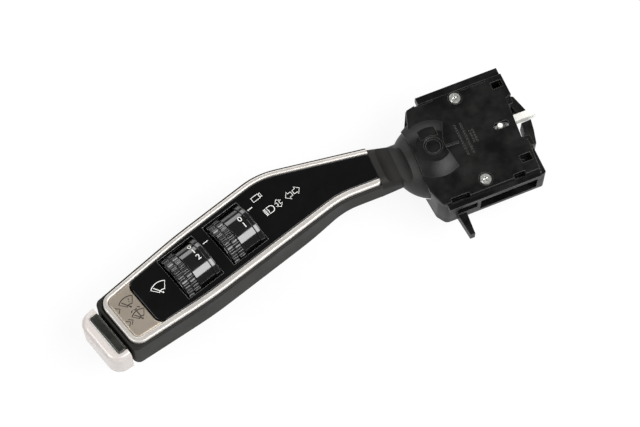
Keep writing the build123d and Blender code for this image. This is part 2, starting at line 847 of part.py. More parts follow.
with BuildPart() as dome_shroud:
    add(flattened_ball(0))
    add(neck_section(neck_end_x, 0, collar_start))
    extrude(amount=collar_length, dir=(1, 0, 0))
    slab((-far_off, neck_end_x), (-far_off, far_off), (-far_off, far_off), mode=Mode.SUBTRACT)
    add(dome_space.part, mode=Mode.SUBTRACT)
    slab((dome_rear, far_off), (-dome_gate, dome_gate), (-far_off, far_off), mode=Mode.SUBTRACT)
    slab((dome_cheek_rear, far_off), (-far_off, far_off), (-far_off, far_off), mode=Mode.SUBTRACT)
    add(neck_section(neck_end_x, shell_wall, collar_start))
    extrude(amount=collar_bore_length, dir=(1, 0, 0), mode=Mode.SUBTRACT)
    cut_saddle()
finish(dome_shroud.part, "dome_shroud")


# Yoke: turns about Z in the head and holds the lever's cross pin

yoke_bottom = floor_top + thrust_gap
yoke_floor = 1.5
cheek_inner = core_half_width + cheek_gap
cheek_outer = cheek_inner + cheek_thickness
stub_bottom = 2.6
stub_sink = 0.7
cheek_round = 1.0
arm_x = (3.0, 13.0)
arm_y = 16.0
arm_width = 4.5
arm_thickness = 1.4
arm_z = (pivot_height - arm_thickness, pivot_height)
magnet_size = 4.0
magnet_depth = 1.6
magnet_margin = 0.2
magnet_x = (arm_x[1] - magnet_margin - magnet_size, arm_x[1] - magnet_margin)
magnet_y = (arm_y - magnet_margin - magnet_size, arm_y - magnet_margin)

with BuildPart() as lever_yoke:
    yoke_x = (-yoke_half_length, yoke_half_length)
    slab(yoke_x, (-cheek_outer, cheek_outer), (yoke_bottom, yoke_bottom + yoke_floor))
    slab(yoke_x, (-cheek_outer, -cheek_inner), (yoke_bottom, bridge_top))
    slab(yoke_x, (cheek_inner, cheek_outer), (yoke_bottom, bridge_top))
    slab(yoke_x, (-cheek_outer, cheek_outer), (yoke_roof, bridge_top))
    cheek_edges = lever_yoke.edges().filter_by(Axis.Z).filter_by(lambda e: e.length > pivot_rise)
    fillet(cheek_edges, radius=cheek_round)
    slab((cheek_round, yoke_half_length), (cheek_outer - cheek_round / 2, arm_y), arm_z)
    slab((yoke_half_length - overlap, arm_x[1]), (arm_y - arm_width, arm_y), arm_z)
    upright(pivot_stub_radius, 0, 0, (stub_bottom, yoke_bottom))
    upright(pivot_stub_radius, 0, 0, (bridge_top, hood_top - stub_sink))
    with BuildSketch(Plane.XZ):
        with Locations((0, pivot_height)):
            Circle(lever_pin_radius)
    extrude(amount=pin_reach_y, both=True, mode=Mode.SUBTRACT)
finish(lever_yoke.part, "lever_yoke")

with BuildPart() as yoke_magnet:
    slab(magnet_x, magnet_y, (arm_z[0] - magnet_depth, arm_z[0]))
finish(yoke_magnet.part, "yoke_magnet")

with BuildPart() as lever_pin:
    with BuildSketch(Plane.XZ):
        with Locations((0, pivot_height)):
            Circle(lever_pin_radius)
    extrude(amount=cheek_outer - seam, both=True)
    chamfer(lever_pin.edges(), length=small_bevel)
finish(lever_pin.part, "lever_pin")


# Detent cam: a concentric wall with a notch for each stalk position

cam_half_angle = 22.0
cam_headroom = 2.3
notch_radius = 2.4

with BuildPart() as detent_cam:
    with BuildSketch(Plane.XY.offset(floor_top)):
        Circle(detent_radius + detent_thickness)
        Circle(detent_radius, mode=Mode.SUBTRACT)
        reach = 2 * detent_radius
        spread = reach * sin(radians(cam_half_angle)) / cos(radians(cam_half_angle))
        with BuildLine():
            Polyline((0, 0), (reach, spread), (reach, -spread), close=True)
        make_face(mode=Mode.INTERSECT)
        notch_centre = detent_radius + notch_depth - notch_radius
        for angle in (-turn_angle, 0, turn_angle):
            with Locations((notch_centre * cos(radians(angle)), notch_centre * sin(radians(angle)))):
                Circle(notch_radius, mode=Mode.SUBTRACT)
    extrude(amount=rim_height - cam_headroom - floor_top)
finish(detent_cam.part, "detent_cam")


# Head housing: tray, base, connector sockets, rails, prong and horn guards

socket_x = (11.2, 38.0)
socket_floor = 1.6
socket_height = 11.0
socket_z = (base_height + socket_floor, base_height + socket_floor + socket_height)
side_pocket_x = (0.5, 9.7)
side_pocket_height = 7.8
side_pocket_z = (socket_z[1] - side_pocket_height, socket_z[1])
side_pocket_depth = 6.0
base_x = (2.0, 37.0)
base_y = (-20.0, 19.0)
base_rib = 3.0
base_round = 2.0
base_pocket_depth = 3.6
boss_radius = 5.5
stub_depth = 4.6
rail_drop = 2.2
rail_rise = 1.4
rail_root = 0.4
rail_z = (rim_height - rail_drop, rim_height + rail_rise)
far_rail_x = (2.8, 41.5)
far_rail_y = 25.4
near_rail_x = (-4.6, 38.4)
near_rail_y = -28.8
far_screw = (18.6, 18.5)
near_screw = (14.9, -21.8)
far_boss_radius = 3.4
cover_screw_depth = 3.2
horn_height = 7.0
horn_z = (finger_window_z, finger_window_z + horn_height)
prong_height = 4.0
prong_z = (base_height, base_height + prong_height)
track_thickness = 1.2
track_gap = 0.3
cam_back = detent_radius + detent_thickness
track_start = cam_back + 2.0
latch_depth = 3.0
latch_near_y = -24.6
latch_wall = 0.7
side_latch = ((32.5, 37.6), (-21.0, -17.4))
near_latches = [(-2.7, 5.8), (26.5, 31.9)]
pin_pitch = 3.3
pin_count = 8
pin_width = 0.64
pin_row_rise = 3.6
pin_row_pitch = 3.8
pin_rows = [(socket_z[0] + pin_row_rise, -12.4), (socket_z[0] + pin_row_rise + pin_row_pitch, -10.8)]
pin_reach = -20.5
pin_first_x = 13.2
board_rows_y = -9.6
mouth_x = 1.5
tray_round = 3.0
column_round = 1.2
cavity_lever_x = -7.0

horn_root = head_column_x - 1.0
upper_horn = [(horn_root, 15.0), (44.6, 12.8), (46.9, 4.7), (42.8, 4.4), (41.8, 9.0), (horn_root, 9.4)]
lower_horn = [(horn_root, -14.0), (44.4, -11.5), (46.1, -5.3), (47.1, -0.1), (42.4, -0.3), (41.6, -5.2),
              (41.6, -9.2), (horn_root, -9.6)]
prong = [(0.3, -24.0), (1.8, -37.6), (4.0, -37.6), (4.6, -28.5), (4.6, -24.0)]
tray_outline = [
    (-3.4, head_far_y - 1.0), (0.4, head_far_y), (head_column_x, head_far_y), (head_column_x, bay_y[1]),
    (bay_outer_x, bay_y[1]), (bay_outer_x, bay_y[0]), (head_column_x, bay_y[0]), (head_column_x, head_near_y),
    (-4.6, head_near_y), (-7.4, head_near_y + 4.4), (head_lever_x, -7.6), (-6.8, 11.0),
]
cavity_outline = [
    (cavity_lever_x, inner_far_y), (inner_x, inner_far_y), (inner_x, bay_y[1] + wall),
    (bay_inner_x, bay_y[1] + wall), (bay_inner_x, bay_y[0] - wall), (inner_x, bay_y[0] - wall),
    (inner_x, inner_near_y), (cavity_lever_x, inner_near_y),
]
step_outline = [(39.9, -13.9), (38.9, -28.0), (46.0, -28.0), (46.0, -13.9)]
roof_thickness = 0.4


def track_spans(margin=0.0):
    """The two upright tracks' spans across, each side of the slider, widened by a margin."""
    inner = slide_half_width + track_gap - margin
    outer = slide_half_width + track_gap + track_thickness + margin
    return [(slide_y - outer, slide_y - inner), (slide_y + inner, slide_y + outer)]


with BuildPart() as mouth:
    add(flattened_ball(dome_gap))
    slab((mouth_x, far_off), (-far_off, far_off), (-far_off, far_off), mode=Mode.SUBTRACT)

with BuildPart() as head_housing:
    add(closed_prism(tray_outline, (base_height, rim_height)))
    uprights = head_housing.edges().filter_by(Axis.Z)
    fillet(uprights.filter_by(lambda e: e.center().X > head_column_x - 0.1), radius=column_round)
    lever_corners = head_housing.edges().filter_by(Axis.Z).filter_by(
        lambda e: e.center().X < 0 and e.center().Y < head_near_y + 5.0)
    fillet(lever_corners, radius=tray_round)
    add(closed_prism(cavity_outline, (floor_top, rim_height + overlap)), mode=Mode.SUBTRACT)
    slab(socket_x, (head_near_y - overlap, head_near_y + socket_depth), socket_z, mode=Mode.SUBTRACT)
    slab(side_pocket_x, (head_near_y - overlap, head_near_y + side_pocket_depth), side_pocket_z,
         mode=Mode.SUBTRACT)
    slab((bay_inner_x - seam, head_column_x + overlap), bay_y, (finger_window_z, rim_height + overlap),
         mode=Mode.SUBTRACT)
    add(closed_prism(step_outline, (socket_z[1] + roof_thickness, rim_height + overlap)), mode=Mode.SUBTRACT)
    latch_z = (rim_height - latch_depth, rim_height + overlap)
    slab(*side_latch, latch_z, mode=Mode.SUBTRACT)
    for x_span in near_latches:
        slab(x_span, (head_near_y + latch_wall, latch_near_y), latch_z, mode=Mode.SUBTRACT)
    add(closed_prism(upper_horn, horn_z))
    add(closed_prism(lower_horn, horn_z))
    add(closed_prism(prong, prong_z))
    slab(far_rail_x, (head_far_y - rail_root, far_rail_y), rail_z)
    slab(near_rail_x, (near_rail_y, head_near_y + rail_root), (rail_z[0], rim_height))
    add(mouth.part, mode=Mode.SUBTRACT)
    slab(base_x, base_y, (0, base_height))
    fillet(head_housing.edges().filter_by(Axis.Z).filter_by(
        lambda e: e.center().Z < base_height and e.length > base_height - 0.1), radius=base_round)
    base_middle = (sum(base_x) / 2, sum(base_y) / 2, 0)
    pocket_x = (base_x[1] - base_x[0] - 3 * base_rib) / 2
    pocket_y = (base_y[1] - base_y[0] - 3 * base_rib) / 2
    with Locations(base_middle):
        with GridLocations(pocket_x + base_rib, pocket_y + base_rib, 2, 2):
            Box(pocket_x, pocket_y, base_pocket_depth, align=(Align.CENTER, Align.CENTER, Align.MIN),
                mode=Mode.SUBTRACT)
    upright(boss_radius, 0, 0, (0, floor_top))
    upright(pivot_stub_radius + running_clearance, 0, 0, (floor_top - stub_depth, floor_top + overlap),
            mode=Mode.SUBTRACT)
    upright(far_boss_radius, *far_screw, (floor_top, rim_height))
    for x, y in (far_screw, near_screw):
        upright(screw_shank, x, y, (rim_height - cover_screw_depth, rim_height + overlap), mode=Mode.SUBTRACT)
    for span in track_spans():
        slab((track_start, bay_inner_x + seam), span, (floor_top, track_height))
    for row_z, tail_y in pin_rows:
        for i in range(pin_count):
            x = pin_first_x + i * pin_pitch
            half = pin_width / 2 + running_clearance
            slab((x - half, x + half), (inner_near_y - socket_back - overlap, inner_near_y + overlap),
                 (row_z - half, row_z + half), mode=Mode.SUBTRACT)
finish(head_housing.part, "head_housing")


# Terminal pins: two rows that enter the board with a bent tail

board_face = floor_top + board_thickness

with BuildPart() as terminal_pins:
    half = pin_width / 2
    for row_z, tail_y in pin_rows:
        for i in range(pin_count):
            x = pin_first_x + i * pin_pitch
            slab((x - half, x + half), (pin_reach, tail_y + half), (row_z - half, row_z + half))
            slab((x - half, x + half), (tail_y - half, tail_y + half), (board_face, row_z + half))
finish(terminal_pins.part, "terminal_pins")


# Circuit board in the head, with the position sensor under the yoke's magnet

board_edge_x = inner_x - board_gap
board_far_y = inner_far_y - board_gap
board_near_y = inner_near_y + seam * 2
board_z = (floor_top, board_face)
board_lever_x = 8.0
board_pin_x = 10.0
board_arm_y = bay_y[1] + wall + board_gap
sensor_height = 0.9
chip_x = (27.5, 33.5)
chip_y = (11.5, 17.5)
boss_gap = 0.3

with BuildPart() as circuit_board:
    slab((board_pin_x, board_edge_x), (board_near_y, board_rows_y), board_z)
    slab((cam_back + overlap, board_edge_x), (board_near_y, board_far_y), board_z)
    slab((board_lever_x, board_edge_x), (board_arm_y, board_far_y), board_z)
    upright(far_boss_radius + boss_gap, *far_screw, (0, rim_height), mode=Mode.SUBTRACT)
    bay_notch_y = (bay_y[0] - wall - board_gap, board_arm_y)
    slab((bay_inner_x - board_gap, head_column_x), bay_notch_y, (0, rim_height), mode=Mode.SUBTRACT)
    for span in track_spans(boss_gap):
        slab((track_start - boss_gap, head_column_x), span, (0, rim_height), mode=Mode.SUBTRACT)
finish(circuit_board.part, "circuit_board")

with BuildPart() as position_sensor:
    slab(magnet_x, magnet_y, (board_face, board_face + sensor_height))
    slab(chip_x, chip_y, (board_face, board_face + chip_height))
finish(position_sensor.part, "position_sensor")


# Cancelling slider, finger and spring

slider_back = 27.0
slider_front = 38.2
slider_lift = 0.3
slider_bottom = finger_window_z + slider_lift
slider_pocket = 4.0
pocket_radius = 2.5
spring_rise = 4.4
spring_height = floor_top + spring_rise
pin_stand = 2.4
pin_top = rim_height + pin_stand
finger_hub_radius = 4.2
finger_bottom = slide_top + thrust_gap
nose_y = 2.2
nose_half = 1.6
shoulder_x = 36.0
shoulder_half = 4.4
neck_x = 39.4
finger_tip_x = 50.2
finger_round = 1.2
cancel_spring_radius = 2.0
cancel_turns = 6

with BuildPart() as cancel_slider:
    slide_across = (slide_y - slide_half_width, slide_y + slide_half_width)
    slab((slider_back, slider_front), slide_across, (slider_bottom, slide_top))
    slab((slider_back, slider_front), (slide_across[0] - flange_reach, slide_across[1] + flange_reach),
         (flange_bottom, slide_top))
    with BuildSketch(Plane(origin=(slider_back, slide_y, spring_height), x_dir=(0, 1, 0), z_dir=(1, 0, 0))):
        Circle(pocket_radius)
    extrude(amount=slider_pocket, mode=Mode.SUBTRACT)
    upright(guide_pin_radius, slide_x, slide_y, (slide_top - overlap, pin_top))
finish(cancel_slider.part, "cancel_slider")

with BuildPart() as cancel_finger:
    with BuildSketch(Plane.XY.offset(finger_bottom)):
        with Locations((slide_x, slide_y)):
            Circle(finger_hub_radius)
        with BuildLine():
            Polyline(
                (slide_x, slide_y + finger_hub_radius), (shoulder_x, nose_y + shoulder_half),
                (neck_x, nose_y + nose_half), (finger_tip_x, nose_y + nose_half),
                (finger_tip_x, nose_y - nose_half), (neck_x, nose_y - nose_half),
                (shoulder_x, nose_y - shoulder_half), (slide_x, slide_y - finger_hub_radius), close=True,
            )
        make_face()
        with Locations((slide_x, slide_y)):
            Circle(guide_pin_radius + running_clearance, mode=Mode.SUBTRACT)
    extrude(amount=finger_height)
    tip_edges = cancel_finger.edges().filter_by(Axis.Z).filter_by(lambda e: e.center().X > finger_tip_x - 0.1)
    fillet(tip_edges, radius=finger_round)
finish(cancel_finger.part, "cancel_finger")

cancel_spring = coil(Vector(cam_back, slide_y, spring_height), Vector(1, 0, 0), cancel_spring_radius,
                     fine_wire, slider_back + slider_pocket - cam_back, cancel_turns)
finish(cancel_spring, "cancel_spring")


# Head cover with its hood, windows, guide slot and screw recesses

cover_bottom = rim_height
cover_top = rim_height + cover_thickness
cover_near_y = head_near_y + cover_near_gap
cover_far_y = head_far_y - 0.4
cover_round = 0.5
hood_boss_radius = 4.8
hood_boss_gap = 0.2
hood_lever_gap = 0.5
stub_ring_width = 0.9
stub_ring_depth = 0.8
hood_recess = ((-4.0, 4.0), (4.2, 9.6))
hood_recess_depth = 0.7
guide_slot = (28.3, 35.4)
guide_slot_width = 3.0
screw_recess = 1.0
screw_ring = 0.6
screw_fit = 0.1
latch_far_y = 21.0
far_latches = [(0.8, 9.0), (20.5, 26.0), (27.5, 34.0)]
column_latch = ((35.7, 40.6), (15.9, 19.2))
cover_outline = [
    (-3.2, head_far_y - 1.2), (0.4, cover_far_y), (head_column_x + 0.2, cover_far_y),
    (head_column_x + 0.2, 11.0), (39.2, 9.8), (37.6, -9.4), (39.6, -12.0), (38.4, cover_near_y),
    (-6.5, cover_near_y), (-9.2, -18.0), (-9.1, -7.6), (-6.8, 11.0),
]
latch_windows = [column_latch, side_latch]
latch_windows += [(x_span, (cover_near_y - overlap, latch_near_y)) for x_span in near_latches]
latch_windows += [(x_span, (latch_far_y, head_far_y)) for x_span in far_latches]
hood_edge = [(11.1, 16.0), (8.0, 8.3), (4.9, 0.6), (4.9, -3.9), (7.0, -11.3), (9.1, -18.7)]
cover_rib = ((5.2, -1.1), (11.5, -1.5))
rib_width = 0.8
rib_height = 0.7
pit_size = 0.7
pit_depth = 0.5
pit_pitch = 1.3
pit_fields = [((14.3, -1.0), 2.6, 12), ((18.6, -1.1), 1.4, 5)]


def beyond_hood(set_back):
    """Everything past the hood's bent end wall, moved back towards the lever."""
    edge = [(x - set_back, y) for x, y in hood_edge]
    return closed_prism(edge + [(far_off, edge[-1][1]), (far_off, edge[0][1])], (0, far_off))


with BuildPart() as hood:
    add(flattened_ball(dome_gap + hood_wall))
    slab((-far_off, far_off), (-far_off, far_off), (-far_off, cover_bottom), mode=Mode.SUBTRACT)
    slab((-far_off, far_off), (-far_off, far_off), (hood_top, far_off), mode=Mode.SUBTRACT)
    slab((-far_off, head_lever_x - hood_lever_gap), (-far_off, far_off), (0, far_off), mode=Mode.SUBTRACT)
    add(beyond_hood(0), mode=Mode.SUBTRACT)
    slab(*hood_recess, (hood_top - hood_recess_depth, far_off), mode=Mode.SUBTRACT)

with BuildPart() as hood_space:
    add(flattened_ball(dome_gap))
    slab((-far_off, far_off), (-far_off, far_off), (hood_top - hood_wall, far_off), mode=Mode.SUBTRACT)
    add(beyond_hood(hood_wall), mode=Mode.SUBTRACT)

with BuildPart() as head_cover:
    add(closed_prism(cover_outline, (cover_bottom, cover_top)))
    lever_corners = head_cover.edges().filter_by(Axis.Z).filter_by(
        lambda e: e.center().X < 0 and e.center().Y < head_near_y + 5.0)
    fillet(lever_corners, radius=tray_round)
    fillet(head_cover.edges().group_by(Axis.Z)[-1], radius=cover_round)
    add(hood.part)
    add(hood_space.part, mode=Mode.SUBTRACT)
    upright(hood_boss_radius, 0, 0, (bridge_top + hood_boss_gap, hood_top))
    upright(pivot_stub_radius + stub_ring_width, 0, 0, (hood_top - stub_ring_depth, hood_top + overlap),
            mode=Mode.SUBTRACT)
    upright(pivot_stub_radius + running_clearance, 0, 0, (0, hood_top + overlap), mode=Mode.SUBTRACT)
    for x_span, y_span in latch_windows:
        slab(x_span, y_span, (0, far_off), mode=Mode.SUBTRACT)
    with BuildSketch(Plane.XY.offset(cover_bottom)):
        with Locations((sum(guide_slot) / 2, slide_y)):
            SlotOverall(guide_slot[1] - guide_slot[0], guide_slot_width)
    extrude(amount=far_off, mode=Mode.SUBTRACT)
    for x, y in (far_screw, near_screw):
        upright(screw_head + screw_ring, x, y, (cover_top - screw_recess, cover_top + overlap),
                mode=Mode.SUBTRACT)
        upright(screw_shank + screw_fit, x, y, (0, cover_top), mode=Mode.SUBTRACT)
    rib_start, rib_end = cover_rib
    rib_run = Vector(*rib_end) - Vector(*rib_start)
    rib_turn = Vector(1, 0, 0).get_signed_angle(rib_run, Vector(0, 0, 1))
    rib_middle = ((rib_start[0] + rib_end[0]) / 2, (rib_start[1] + rib_end[1]) / 2, 0)
    with BuildSketch(Plane.XY.offset(cover_top - seam)):
        with Locations(Location(rib_middle, (0, 0, rib_turn))):
            Rectangle(rib_run.length, rib_width)
    extrude(amount=rib_height + seam)
    with BuildSketch(Plane.XY.offset(cover_top)):
        for centre, spread, rows in pit_fields:
            with Locations(centre):
                with GridLocations(spread, pit_pitch, 2, rows):
                    Rectangle(pit_size, pit_size)
    extrude(amount=-pit_depth, mode=Mode.SUBTRACT)
finish(head_cover.part, "head_cover")

cover_shank = cover_thickness - screw_recess + cover_screw_depth - screw_room

with BuildPart() as cover_screws:
    for x, y in (far_screw, near_screw):
        add(screw(x, y, cover_top - screw_recess, cover_shank))
finish(cover_screws.part, "cover_screws")
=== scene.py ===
import json
import math

import bpy
from mathutils import Matrix, Vector


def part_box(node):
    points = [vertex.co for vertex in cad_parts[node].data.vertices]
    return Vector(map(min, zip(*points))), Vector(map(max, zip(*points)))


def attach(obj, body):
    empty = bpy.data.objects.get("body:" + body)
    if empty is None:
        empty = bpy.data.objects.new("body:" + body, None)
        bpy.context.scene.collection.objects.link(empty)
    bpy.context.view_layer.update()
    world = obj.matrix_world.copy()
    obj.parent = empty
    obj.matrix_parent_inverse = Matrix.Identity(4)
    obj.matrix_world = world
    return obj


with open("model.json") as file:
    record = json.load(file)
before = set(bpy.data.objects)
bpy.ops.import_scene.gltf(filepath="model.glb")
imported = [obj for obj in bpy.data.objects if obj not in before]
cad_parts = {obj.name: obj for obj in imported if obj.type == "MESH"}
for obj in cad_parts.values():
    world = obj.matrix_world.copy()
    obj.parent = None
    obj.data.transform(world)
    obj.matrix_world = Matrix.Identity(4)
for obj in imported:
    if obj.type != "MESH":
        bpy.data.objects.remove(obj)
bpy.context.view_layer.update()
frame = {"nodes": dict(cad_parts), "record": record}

# Combination stalk switch in a pale studio. Lengths are in millimetres until mm() turns them into metres.

mmPerMetre = 1000
crank = math.radians(16.8)  # the grip is turned by this against the head


def mm(value):
    return value / mmPerMetre


def linear(hexColour):
    # sRGB hex to the linear colour that a shader wants
    parts = [int(hexColour[i:i + 2], 16) / 255 for i in (1, 3, 5)]
    return [c / 12.92 if c <= 0.04045 else ((c + 0.055) / 1.055) ** 2.4 for c in parts] + [1.0]


def addNode(tree, kind, settings=None, **links):
    # a node with its settings; a link is a value or another node's output, and i0, i6 are inputs by number
    node = tree.nodes.new(kind)
    for key, value in (settings or {}).items():
        setattr(node, key, value)
    for key, value in links.items():
        socket = node.inputs[int(key[1:]) if key[0] == "i" and key[1:].isdigit() else key.replace("_", " ")]
        if isinstance(value, bpy.types.NodeSocket):
            tree.links.new(value, socket)
        else:
            socket.default_value = value
    return node


def startMaterial(name, **shader):
    material = bpy.data.materials.new(name)
    material.use_nodes = True
    tree = material.node_tree
    principled = tree.nodes["Principled BSDF"]
    for key, value in shader.items():
        principled.inputs[key.replace("_", " ")].default_value = value
    place = addNode(tree, "ShaderNodeTexCoord").outputs["Object"]
    return material, tree, principled, place


def perMm(size):
    # texture scale for a pattern of that size in millimetres
    return mmPerMetre / size


def grain(tree, place, size, detail=3.0, rough=0.55, stretch=(1, 1, 1), turn=0.0):
    mapped = addNode(tree, "ShaderNodeMapping", None, Vector=place, Scale=stretch, Rotation=(0, 0, turn))
    noise = addNode(tree, "ShaderNodeTexNoise", None, Vector=mapped.outputs["Vector"], Scale=perMm(size),
                    Detail=detail, Roughness=rough)
    return noise.outputs["Fac"]


# samples for the painted edge highlight in tint() and for the rounded normals in bump()
paintedEdgeSheenAndRounding = {
    "tintSamples": 6,
    "bumpSamples": 8,
    "sheenStart": 0.99,  # cosine between the rounded and the flat normal where the painted edge highlight begins
    "sheenFull": 0.8,
}


def tint(tree, principled, factor, dark, light, low=0.3, high=0.7, edge=None):
    # colour that wanders between two hex values; an edge is (radius in mm, hex) for a painted highlight, a
    # paler colour laid where the rounded normal turns away from the flat one at a sharp edge
    ramp = addNode(tree, "ShaderNodeValToRGB", None, Fac=factor)
    for element, place, colour in zip(ramp.color_ramp.elements, (low, high), (dark, light)):
        element.position = place
        element.color = linear(colour)
    colour = ramp.outputs["Color"]
    if edge:
        radius, highlightColour = edge
        # painted highlight: the edge colour is mixed in where the rounded normal leaves the flat one
        roundedNormal = addNode(tree, "ShaderNodeBevel", {"samples": paintedEdgeSheenAndRounding["tintSamples"]}, Radius=mm(radius))
        flat = addNode(tree, "ShaderNodeNewGeometry")
        facing = addNode(tree, "ShaderNodeVectorMath", {"operation": "DOT_PRODUCT"},
                         i0=roundedNormal.outputs["Normal"], i1=flat.outputs["Normal"])
        sheenMask = addNode(tree, "ShaderNodeMapRange", None, Value=facing.outputs["Value"],
                      From_Min=paintedEdgeSheenAndRounding["sheenStart"], From_Max=paintedEdgeSheenAndRounding["sheenFull"])
        blend = addNode(tree, "ShaderNodeMix", {"data_type": "RGBA"}, i0=sheenMask.outputs["Result"], i6=colour,
                        i7=linear(highlightColour))
        colour = blend.outputs[2]
    tree.links.new(colour, principled.inputs["Base Color"])


def roughen(tree, principled, factor, smooth, rough, low=0.3, high=0.7):
    spread = addNode(tree, "ShaderNodeMapRange", None, Value=factor, From_Min=low, From_Max=high,
                     To_Min=smooth, To_Max=rough)
    tree.links.new(spread.outputs["Result"], principled.inputs["Roughness"])


def bump(tree, principled, height, depth, strength=1.0, edge=0.0):
    # depth in mm; an edge radius in mm lets a sharp edge catch the light as a worn one does
    node = addNode(tree, "ShaderNodeBump", None, Height=height, Distance=mm(depth), Strength=strength)
    if edge > 0:
        roundedNormal = addNode(tree, "ShaderNodeBevel", {"samples": paintedEdgeSheenAndRounding["bumpSamples"]}, Radius=mm(edge))
        tree.links.new(roundedNormal.outputs["Normal"], node.inputs["Normal"])
    tree.links.new(node.outputs["Normal"], principled.inputs["Normal"])


# Finishes. Grain that is too fine to show is drawn coarser than the real one, as each note says.


def glassFilledNylon():
    # moulded glass filled nylon: near black, semi matte, faint flow marks and a spark eroded grain
    # the real grain is about 0.1 mm, drawn at 0.35 mm so that it shows
    material, tree, principled, place = startMaterial("glassFilledNylon", IOR=1.53, Specular_IOR_Level=0.22)
    flow = grain(tree, place, size=11.0, detail=4.0, rough=0.6, stretch=(1, 1, 2.5))
    # the pale edge colour #64625f is a painted highlight along the housing's sharp edges
    tint(tree, principled, flow, "#060606", "#181817", low=0.42, high=0.68, edge=(0.32, "#64625f"))
    roughen(tree, principled, flow, smooth=0.28, rough=0.48)
    bump(tree, principled, grain(tree, place, size=0.35, detail=2.0), depth=0.02, strength=0.45, edge=0.3)
    return material


def softTouchPaint():
    # polyurethane soft touch paint on ABS: warm dark grey, even and matte, with a very fine tooth
    # the real tooth is about 0.05 mm, drawn at 0.3 mm so that it shows
    material, tree, principled, place = startMaterial("softTouchPaint", IOR=1.48, Specular_IOR_Level=0.3)
    cloud = grain(tree, place, size=14.0, detail=3.0, rough=0.5)
    tint(tree, principled, cloud, "#1a1917", "#23221f")
    roughen(tree, principled, cloud, smooth=0.52, rough=0.64)
    bump(tree, principled, grain(tree, place, size=0.3, detail=2.0), depth=0.015, strength=0.55)
    return material


def mattAcetal():
    # moulded black acetal of the dome: a shade paler and more matt than the housing, with a waxy skin
    # the real grain is about 0.1 mm, drawn at 0.4 mm so that it shows
    material, tree, principled, place = startMaterial("mattAcetal", IOR=1.48, Specular_IOR_Level=0.45)
    cloud = grain(tree, place, size=8.0, detail=3.0, rough=0.55)
    tint(tree, principled, cloud, "#232322", "#2d2c2b")
    roughen(tree, principled, cloud, smooth=0.46, rough=0.58)
    bump(tree, principled, grain(tree, place, size=0.4, detail=2.0), depth=0.015, strength=0.5)
    return material


def pianoLacquer():
    # clear lacquer over black ABS: deep gloss with a trace of orange peel and handling haze
    material, tree, principled, place = startMaterial("pianoLacquer", IOR=1.5, Specular_IOR_Level=0.42)
    haze = grain(tree, place, size=6.0, detail=5.0, rough=0.65)
    # the pale edge colour #858583 is a painted highlight along the panel's edges
    tint(tree, principled, haze, "#040404", "#090909", low=0.3, high=0.7, edge=(0.45, "#858583"))
    roughen(tree, principled, haze, smooth=0.07, rough=0.16)
    bump(tree, principled, grain(tree, place, size=2.4, detail=1.0), depth=0.01, strength=0.3, edge=0.2)
    return material


def dialLacquer():
    # hard clear coat on the dial barrels: glossier than the panel, so the softbox shows as a clean patch
    material, tree, principled, place = startMaterial("dialLacquer", IOR=1.5, Specular_IOR_Level=0.95)
    haze = grain(tree, place, size=5.0, detail=4.0, rough=0.6)
    # the pale edge colour #5a5a59 is a painted highlight along the barrels' edges
    tint(tree, principled, haze, "#060606", "#0c0c0d", low=0.3, high=0.7, edge=(0.3, "#5a5a59"))
    roughen(tree, principled, haze, smooth=0.06, rough=0.13)
    bump(tree, principled, grain(tree, place, size=2.0, detail=1.0), depth=0.008, strength=0.25, edge=0.25)
    return material


def mouldedKnurl():
    # moulded ABS with eroded flanks: satin black, and the rounded teeth sparkle
    # the real grain is about 0.1 mm, drawn at 0.3 mm so that it shows
    material, tree, principled, place = startMaterial("mouldedKnurl", IOR=1.53, Specular_IOR_Level=0.8)
    patch = grain(tree, place, size=3.0, detail=3.0)
    tint(tree, principled, patch, "#0e0e0f", "#1a1a1b")
    roughen(tree, principled, patch, smooth=0.14, rough=0.26)
    bump(tree, principled, grain(tree, place, size=0.3, detail=2.0), depth=0.012, strength=0.3, edge=0.9)
    return material


def satinNickel():
    # satin nickel plating on ABS: bright, nearly neutral metal, softly brushed along the grip
    # brushed lines are about 0.05 mm wide, drawn at 0.5 mm so that they show
    material, tree, principled, place = startMaterial("satinNickel", Metallic=0.72)
    lines = grain(tree, place, size=0.5, detail=3.0, rough=0.6, stretch=(0.05, 1, 1), turn=-crank)
    cloud = grain(tree, place, size=12.0, detail=2.0)
    tint(tree, principled, cloud, "#d9d4ce", "#e2ddd7")
    roughen(tree, principled, lines, smooth=0.42, rough=0.52)
    bump(tree, principled, lines, depth=0.004, strength=0.3, edge=0.9)
    return material


def champagneAnodise():
    # anodised aluminium, champagne dye: fine blasted surface, a little duller than the trim
    # blasting leaves pits of about 0.05 mm, drawn at 0.35 mm so that they show
    material, tree, principled, place = startMaterial("champagneAnodise", Metallic=0.7)
    fine = grain(tree, place, size=0.35, detail=2.0)
    cloud = grain(tree, place, size=10.0, detail=2.0)
    tint(tree, principled, cloud, "#b5a999", "#c0b5a6")
    roughen(tree, principled, fine, smooth=0.36, rough=0.46)
    bump(tree, principled, fine, depth=0.006, strength=0.4, edge=1.5)
    return material


def pearlPaint():
    # pearl paint under satin lacquer: pale and warm, with a fine flake
    # real flakes are about 0.05 mm, drawn at 0.35 mm so that they show
    material, tree, principled, place = startMaterial("pearlPaint", IOR=1.5, Metallic=0.1, Coat_Weight=0.35,
                                                      Coat_Roughness=0.2)
    flake = addNode(tree, "ShaderNodeTexVoronoi", None, Vector=place, Scale=perMm(0.35))
    tint(tree, principled, flake.outputs["Distance"], "#e2dad6", "#d4ccc7", low=0.2, high=0.8)
    roughen(tree, principled, grain(tree, place, size=5.0, detail=2.0), smooth=0.3, rough=0.4)
    bump(tree, principled, grain(tree, place, size=1.8, detail=1.0), depth=0.008, strength=0.3)
    return material


